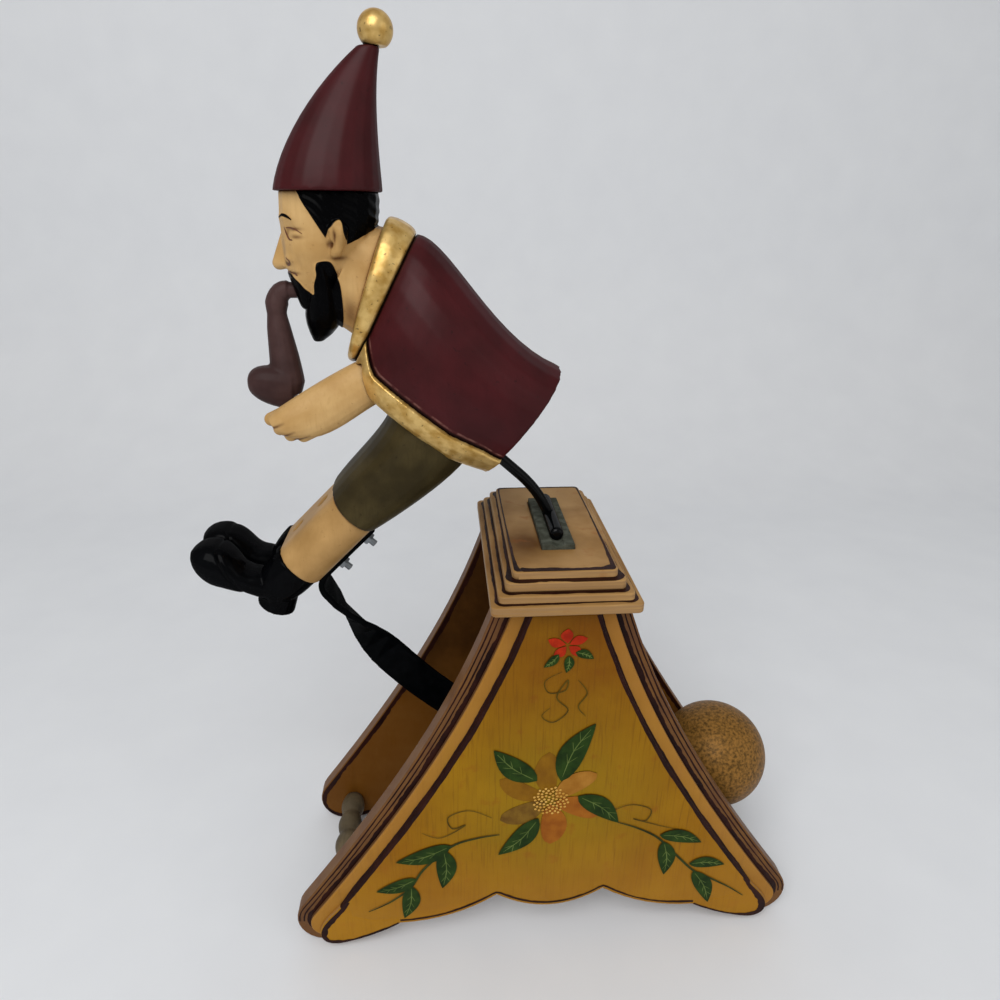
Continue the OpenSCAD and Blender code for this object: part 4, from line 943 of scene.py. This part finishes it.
# %% [markdown]
# The flowered field runs down into each foot as a round lobe. The lobe is a raised form with an eased edge,
# given by a curve on the panel, and it sits on the steps of the moulding.

# %% Lobes of the feet
LOBE = [(-113, 36.6), (-118, 29.7), (-123.5, 23.2), (-127.5, 17), (-128.8, 11.6), (-127.6, 7.2), (-124.4, 4.4),
        (-119.5, 3.4), (-114.2, 4.2), (-108.9, 5.6), (-103.7, 7.2), (-98.6, 9.1), (-93.7, 11.3), (-88.8, 13.7),
        (-84, 16.5)]
LOBE_INNER = [(-84, 20), (-98, 21), (-110, 25.5)]
LOBE_SECTION = [(0.0, 49.0), (0.0, 54.0), (0.35, 54.7), (1.1, 55.04), (1.7, 55.04)]  # inset, distance from Y 0
lobes = bmesh.new()
lobe_lines = []
curve = curve_through([Vector((x, 0, z)) for x, z in LOBE])
outline = curve + [Vector((x, 0, z)) for x, z in LOBE_INNER]
middle = sum(outline, Vector()) / len(outline)
for facing in (-1, 1):
    for mirror in (-1, 1):
        rings = []
        for inset, out in LOBE_SECTION:
            ring = [p + (middle - p).normalized() * inset for p in outline]
            rings.append([lobes.verts.new(at(-mirror * p.x, facing * out, p.z)) for p in ring])
        for a, b in zip(rings, rings[1:]):
            for k in range(len(a)):
                lobes.faces.new((a[k - 1], a[k], b[k], b[k - 1]))
        lobes.faces.new(rings[-1])
        edge = curve if mirror * facing > 0 else curve[::-1]
        lobe_lines.append((facing, [at(-mirror * p.x, facing * LOBE_SECTION[-1][1], p.z) for p in edge]))
bmesh.ops.recalc_face_normals(lobes, faces=lobes.faces)
painted("foot_lobes_carved", lobes, STAND, panel_paint)

# %% [markdown]
# Each panel is lined from the field outwards: over the field's step, along the scalloped apron, beside the
# bead, twice on the outer strip, and round the inner face. The line round a foot is thick on its outside
# and thin along its lower edge.

# %% Lines of the panels
FIELD_STEP, FIELD_OUT, FIELD_IN, FIELD_FOOT = 2.5, 1.2, 0.9, 30
APRON_HALF, APRON_TOP, APRON_INSET, APRON_LINE = 84.5, 60, 2.0, 1.5
OUTSIDE_EDGE, BEAD_LINE, BEAD_FOOT = -0.05, 2.9, 9
STRIP_INSETS, STRIP_LINE, STRIP_FOOT = (1.0, 3.4), 0.9, 15
EDGE_INSET, INNER_LINE = 0.6, 3.0
TOE_LEAST, TOE_MORE, TOE_X, TOE_SPAN = 1.5, 2.6, 110, 14


def toe_width(place):
    """Width of the line round a foot."""
    out = (abs(place.x - pivot.x) / MM - TOE_X) / TOE_SPAN
    return TOE_LEAST + TOE_MORE * min(max(out, 0), 1)


lines = bmesh.new()
for node, way in (("front_panel", -1), ("back_panel", 1)):
    facing = Vector((0, way, 0))
    field = rims(node, facing, 0)[0]
    for run in sides_of(field, FIELD_FOOT):
        step_lining(lines, run, facing, FIELD_OUT, FIELD_IN, FIELD_STEP, seed=way)
    apron = [p for p in field if p.z < APRON_TOP * MM and abs(p.x - pivot.x) < APRON_HALF * MM]
    lining(lines, sorted(apron, key=lambda p: -way * p.x), facing, APRON_INSET, APRON_LINE, seed=2 + way)
    bead, outer = sorted(rims(node, facing, 2)[:2], key=lambda loop: max(p.x for p in loop))
    for run in sides_of(bead, BEAD_FOOT):
        lining(lines, run, facing, OUTSIDE_EDGE, BEAD_LINE, seed=3 + way)
    for run in sides_of(outer, STRIP_FOOT):
        for inset in STRIP_INSETS:
            lining(lines, run, facing, inset, STRIP_LINE, seed=5 + way + inset)
    inner = rims(node, -facing, 0)[0]
    lining(lines, inner + inner[:1], -facing, EDGE_INSET, INNER_LINE, seed=4 + way)
for way, edge in lobe_lines:
    lining(lines, edge, Vector((0, way, 0)), EDGE_INSET, toe_width, seed=6 + way)
print("faces of the panels' lines:", len(lines.faces))

# %% [markdown]
# The cap has a line on each of its treads. The lines are broad across the front, where the brush was full,
# thinner along the sides and back, and they spread in the corners, but never past the tread.

# %% Lines of the cap
up = Vector((0, 0, 1))
top_rim = rims("cap_top", up, 0)[0]
middle_rim = max(rims("cap_top", up, 2), key=lambda loop: max(p.x for p in loop))
base_rim = rims("cap_base", up, 0)[0]
CAP_LINES = [  # rim, inset, width at the front, width elsewhere, drop, corner, share of the width along the sides
    (top_rim, 0.8, 3.4, 1.4, 0, 0.4, 0.6), (top_rim, OUTSIDE_EDGE, 3.7, 2.4, 3.5, 0.5, 0.55),
    (middle_rim, OUTSIDE_EDGE, 1.8, 1.4, 5, 0.3, 0.9), (base_rim, OUTSIDE_EDGE, 1.6, 1.4, 3.5, 0.3, 0.9)]
TREAD, FRONT_REACH = 3.3, 45
for seed, (rim, inset, front, elsewhere, drop, corner, side_share) in enumerate(CAP_LINES):
    back = max(range(len(rim)), key=lambda i: rim[i].y)
    lining(lines, rim[back:] + rim[:back + 1], up, inset,
           lambda place: elsewhere + (front - elsewhere) * min(max(-place.y / (FRONT_REACH * MM), 0), 1),
           seed, drop, corner, side_share, TREAD if drop else math.inf)
painted("lining_painted", lines, STAND, line_paint)

# %% [markdown]
# The flowers are free brush work in a folk manner: an open six-petalled flower, dark leaves with pale
# veins, a leafy spray towards each foot, and a small red flower under the cap. Places are in millimetres
# on the panel, listed one by one.

# %% Places of the flowers
SPRIGS = [  # root of a leaf, its tip, its width
    ((-10, 116), (-32.5, 137), 13), ((2.5, 115), (18.5, 151), 14), ((-8.5, 90), (-29.5, 65.5), 12),
    ((12, 104), (35, 84), 12), ((-55, 74), (-84.5, 64), 11), ((-59, 71), (-60, 43), 11),
    ((-74, 51), (-96, 43), 9), ((-77, 46), (-81.5, 21.5), 10), ((59, 73), (83, 66), 9), ((61.5, 68), (64, 43), 10),
    ((78, 50), (98.5, 48), 8), ((81, 44), (92.5, 18.5), 10),
    ((-2, 193), (-9, 186), 4.5), ((3, 192), (2, 182.5), 5), ((6, 194), (15, 190), 5),
]
STEMS = [
    [(-29, 80), (-42, 78), (-55, 73), (-70, 57.5), (-77, 45), (-88, 35), (-101, 28)],
    [(35, 84), (46, 79), (58, 71), (70, 57), (80.5, 45), (91, 38), (103, 30), (113, 22)],
]
TENDRILS = [
    [(0, 183), (-8, 178), (-6, 171), (2, 172), (3, 178), (-2, 168), (4, 160), (-3, 153), (-9, 157), (-5, 162)],
    [(8, 178), (13, 170), (9, 162), (13, 156)],
    [(-33, 92), (-45, 98), (-56, 94), (-54, 86), (-47, 88), (-60, 80), (-70, 84)],
    [(27, 90), (40, 96), (52, 92), (50, 84), (43, 86), (58, 80), (70, 76)],
]
PETALS = [(93, 32, 12, "ochre"), (35, 29, 12, "peach"), (150, 31, 11, "ochre"), (205, 29, 13, "umber"),
          (272, 31, 14, "rust"), (335, 29, 13, "rust")]  # angle, reach, width, paint
RED_PETALS = [(90, 9, 6), (20, 10, 5), (160, 10, 5), (225, 9, 5), (315, 9, 5)]
RED_FLOWER = (2, 198)
print("leaves:", len(SPRIGS), "stems:", len(STEMS), "tendrils:", len(TENDRILS), "petals:", len(PETALS))

# %% [markdown]
# Thin artist's oil is laid on with one stroke of a brush. It dries flat and a little streaky, and it hides
# the ochre below. The table is in the order in which the paints are laid on, and each lies a little higher
# than the one before it, so leaves cover stems and veins cover leaves.

# %% Paints of the flowers
FLOWER_PAINTS = [  # key, what it is, thick tone, thin tone, drift
    ("ochre", "brown_ochre_oil_stroke", "#8a6010", "#784f0c", 8),
    ("umber", "grey_umber_oil_stroke", "#7c5c1e", "#624416", 6),
    ("rust", "rust_ochre_oil_stroke", "#a0601a", "#8a4c12", 8),
    ("peach", "peach_oil_stroke", "#a8742c", "#94601c", 8),
    ("red", "vermilion_oil_stroke", "#b02c0e", "#8e200a", 5),
    ("tendril", "thin_umber_oil_stroke", "#5a4a10", "#43370c", 8),
    ("stem", "dull_green_oil_stroke", "#3a421a", "#242c10", 8),
    ("leaf", "leaf_green_oil_stroke", "#2b4214", "#182b0b", 8),
    ("vein", "pale_green_oil_stroke", "#6c7c42", "#4d602c", 8),
    ("cream", "cream_oil_stipple", "#d9ab58", "#bd8a36", 8),
]
LAYER, OVERLAP = 0.6, 0.012
PAINTS = {key: oil_paint(name, thick, thin, thin, drift, glaze_and_shade_reach=FILM_GLAZE_AND_SHADE, Roughness=0.5,
                         Specular_IOR_Level=0.08) for key, name, thick, thin, drift in FLOWER_PAINTS}
LIFT = {key: FILM * (1 + LAYER * i) for i, key in enumerate(PAINTS)}
print("flower paints, lowest first:", list(PAINTS))

# %% [markdown]
# A leaf or petal is a film with a curved outline round a slightly bent middle line, and the veins follow
# the same line. Stems, tendrils and veins are strokes that thin out towards both ends.

# %% Leaves and strokes on a panel
BEND, TIP_HALF, LEAF_ROWS = 0.07, 0.12, 12


def on_panel(place, facing, lift):
    """A place on the painted face of a panel."""
    return at(place.x, (near_face - lift) * -facing, place.z)


def spine(start, end, side, t):
    """A place on the bent middle line of a leaf."""
    return start.lerp(end, t) + side * (end - start).length * BEND * math.sin(math.pi * t)


def leaf(bm, facing, base, tip, width, lift, bulge=0.8, blunt=0.85):
    """A leaf or petal of paint between two places, wide where bulge puts it."""
    start, end = Vector((base[0], 0, base[1])), Vector((tip[0], 0, tip[1]))
    side = Vector((-(end - start).z, 0, (end - start).x)).normalized()
    left, right = [], []
    for k in range(LEAF_ROWS + 1):
        t = k / LEAF_ROWS
        half = width / 2 * math.sin(math.pi * t ** bulge) ** blunt if 0 < k < LEAF_ROWS else TIP_HALF
        left.append(spine(start, end, side, t) - side * half)
        right.append(spine(start, end, side, t) + side * half)
    edges = [[bm.verts.new(on_panel(p, facing, lift)) for p in row] for row in (left, right)]
    for k in range(LEAF_ROWS):
        bm.faces.new((edges[0][k], edges[0][k + 1], edges[1][k + 1], edges[1][k])[::-facing])
    return start, end, side


def panel_stroke(bm, facing, points, width, lift):
    """A brush stroke on a panel."""
    row = curve_through([Vector((x, 0, z)) for x, z in points])
    places = [on_panel(p, facing, lift - FILM) for p in row]
    widths = [width * (0.4 + 0.6 * math.sin(math.pi * i / (len(row) - 1))) for i in range(len(row))]
    ribbon(bm, places, [Vector((0, facing, 0))] * len(row), widths)


def polar(centre, angle, reach):
    """A place at an angle and a reach from a centre."""
    return (centre[0] + reach * math.cos(math.radians(angle)), centre[1] + reach * math.sin(math.radians(angle)))


# %% [markdown]
# Now the painting itself, on both panels. The heart of the flower is stippled: dots set by the golden
# angle fill a round evenly, as seeds do.

# %% Flower painting
STEM_WIDTH, TENDRIL_WIDTH, VEIN_WIDTH, SIDE_VEIN_WIDTH = 1.3, 0.6, 0.5, 0.3
PETAL_ROOT, RED_ROOT, PETAL_BULGE, PETAL_BLUNT = 3, 1, 1.1, 0.5
SPINE_PLACES, VEIN_ROOTS, VEIN_AHEAD, VEIN_OUT = (0.08, 0.5, 0.9), (0.3, 0.5, 0.68), 0.14, 0.22
STIPPLES, GOLDEN_TURN, HEART_R, DOT_R, DOT_SIDES = 70, 137.508, 9.5, 0.75, 6
films = {key: bmesh.new() for key in PAINTS}
for facing in (-1, 1):
    for stem in STEMS:
        panel_stroke(films["stem"], facing, stem, STEM_WIDTH, LIFT["stem"])
    for tendril in TENDRILS:
        panel_stroke(films["tendril"], facing, tendril, TENDRIL_WIDTH, LIFT["tendril"])
    for i, (angle, reach, width, key) in enumerate(PETALS):
        leaf(films[key], facing, polar(FLOWER, angle, PETAL_ROOT), polar(FLOWER, angle, reach), width,
             LIFT[key] + OVERLAP * (i % 3), PETAL_BULGE, PETAL_BLUNT)
    for i, (angle, reach, width) in enumerate(RED_PETALS):
        leaf(films["red"], facing, polar(RED_FLOWER, angle, RED_ROOT), polar(RED_FLOWER, angle, reach), width,
             LIFT["red"] + OVERLAP * (i % 5), PETAL_BULGE)
    for i, (base, tip, width) in enumerate(SPRIGS):
        start, end, side = leaf(films["leaf"], facing, base, tip, width, LIFT["leaf"] + OVERLAP * (i % 3))
        vein = [spine(start, end, side, t) for t in SPINE_PLACES]
        panel_stroke(films["vein"], facing, [(p.x, p.z) for p in vein], VEIN_WIDTH, LIFT["vein"])
        for root in (spine(start, end, side, t) for t in VEIN_ROOTS):
            for way in (-1, 1):
                out = root + (end - start) * VEIN_AHEAD + side * way * width * VEIN_OUT
                panel_stroke(films["vein"], facing, [(root.x, root.z), (out.x, out.z)], SIDE_VEIN_WIDTH, LIFT["vein"])
    for i in range(STIPPLES):
        spot = Vector((*polar(FLOWER, i * GOLDEN_TURN, HEART_R * math.sqrt((i + 0.5) / STIPPLES)), 0)).xzy
        turns = [2 * math.pi * k / DOT_SIDES for k in range(DOT_SIDES)[::-facing]]
        dot = [spot + Vector((math.cos(a), 0, math.sin(a))) * DOT_R for a in turns]
        films["cream"].faces.new([films["cream"].verts.new(on_panel(p, facing, LIFT["cream"])) for p in dot])
for key, film in films.items():
    painted("flowers_" + key + "_painted", film, STAND, PAINTS[key])

# %% [markdown]
# What stays as it is in the frame gets its finish here: the studs, washers and nuts, and the dowels, core
# and pin that sit inside.

# %% Finish of the plain nodes
PLAIN = {
    zinc: ("strap_bolts", "strap_washers", "strap_nuts", "core_pin"),
    bare_beech: ("cap_dowels", "neck_peg", "hat_peg", "hip_pegs"),
    iron: ("ball_core",),
}
for material, nodes in PLAIN.items():
    for node in nodes:
        mesh = frame["nodes"][node].data
        mesh.materials.clear()
        mesh.materials.append(material)
    print(material.name, "on", nodes)

# %% [markdown]
# The studio: a pale floor that sweeps up into a pale wall, so no horizon distracts. It is matt paper, whose
# faint clouds are drawn 60 mm wide so that they show at all.

# %% Floor and backdrop
paper = mottled("matt_white_paper_sweep", "#e4e6ea", "#eceef1", 60, 3, Roughness=0.9)
SWEEP_FRONT, SWEEP_BACK, SWEEP_R, SWEEP_HALF, SWEEP_TOP, SWEEP_STEPS = -2.5, 0.9, 0.35, 3.0, 3.0, 12
bend = [math.pi / 2 * k / SWEEP_STEPS for k in range(SWEEP_STEPS + 1)]
profile = [(SWEEP_FRONT, 0.0), *((SWEEP_BACK - SWEEP_R + SWEEP_R * math.sin(a), SWEEP_R - SWEEP_R * math.cos(a))
                                 for a in bend), (SWEEP_BACK, SWEEP_TOP)]
sweep = bmesh.new()
rows = [[sweep.verts.new((x, y, z)) for x in (-SWEEP_HALF, SWEEP_HALF)] for y, z in profile]
for (a, b), (c, d) in zip(rows, rows[1:]):
    sweep.faces.new((a, b, d, c))
sweep_mesh = bpy.data.meshes.new("paper_sweep")
sweep.to_mesh(sweep_mesh)
sweep.free()
sweep_mesh.materials.append(paper)
sweep_mesh.shade_smooth()
floor = bpy.data.objects.new("paper_sweep", sweep_mesh)
bpy.context.scene.collection.objects.link(floor)
print("paper sweep:", len(profile), "rows")

# %% [markdown]
# A large soft light stands at the left and front, a weaker one at the right, and an even pale sky fills the
# rest. The light is kept at a level at which a colour renders about as it is written.

# %% Lights
AIM = Vector((0, 0, 0.25))


def softbox(name, place, size, power):
    """A square soft light that looks at the toy."""
    lamp = bpy.data.lights.new(name, "AREA")
    lamp.size = size
    lamp.energy = power
    holder = bpy.data.objects.new(name, lamp)
    holder.location = place
    holder.rotation_euler = (AIM - Vector(place)).to_track_quat("-Z", "Y").to_euler()
    bpy.context.scene.collection.objects.link(holder)


softbox("window_front", (-0.4, -1.0, 1.3), 1.1, 15)
softbox("fill_right", (1.2, -0.8, 0.7), 1.0, 2.2)
world = bpy.data.worlds.new("even_sky")
bpy.context.scene.world = world
world.use_nodes = True
sky = world.node_tree.nodes["Background"]
sky.inputs["Color"].default_value = linear("#f3f2ef")
sky.inputs["Strength"].default_value = 0.45
print("lights:", [light.name for light in bpy.data.lights])

# %% [markdown]
# The camera stands a little to the left of the stand, at a third of a metre, and looks down on it.

# %% Camera
CAMERA_PLACE = (-54.1, -331.2, 386.8)
YAW, PITCH, ROLL = 4.8, 22.384, -0.7
LENS, SENSOR, CLIP_START = 25.2, 36, 0.01
camera = bpy.data.objects.new("camera", bpy.data.cameras.new("camera"))
bpy.context.scene.collection.objects.link(camera)
camera.data.lens = LENS
camera.data.sensor_width = SENSOR
camera.data.clip_start = CLIP_START
turn = (Matrix.Rotation(math.radians(-YAW), 3, "Z") @ Matrix.Rotation(math.radians(90 - PITCH), 3, "X")
        @ Matrix.Rotation(math.radians(-ROLL), 3, "Z"))
camera.rotation_euler = turn.to_euler()
camera.location = at(*CAMERA_PLACE)
bpy.context.scene.camera = camera
bpy.context.scene.view_settings.view_transform = "Standard"
print("camera at", tuple(round(v, 3) for v in camera.location))
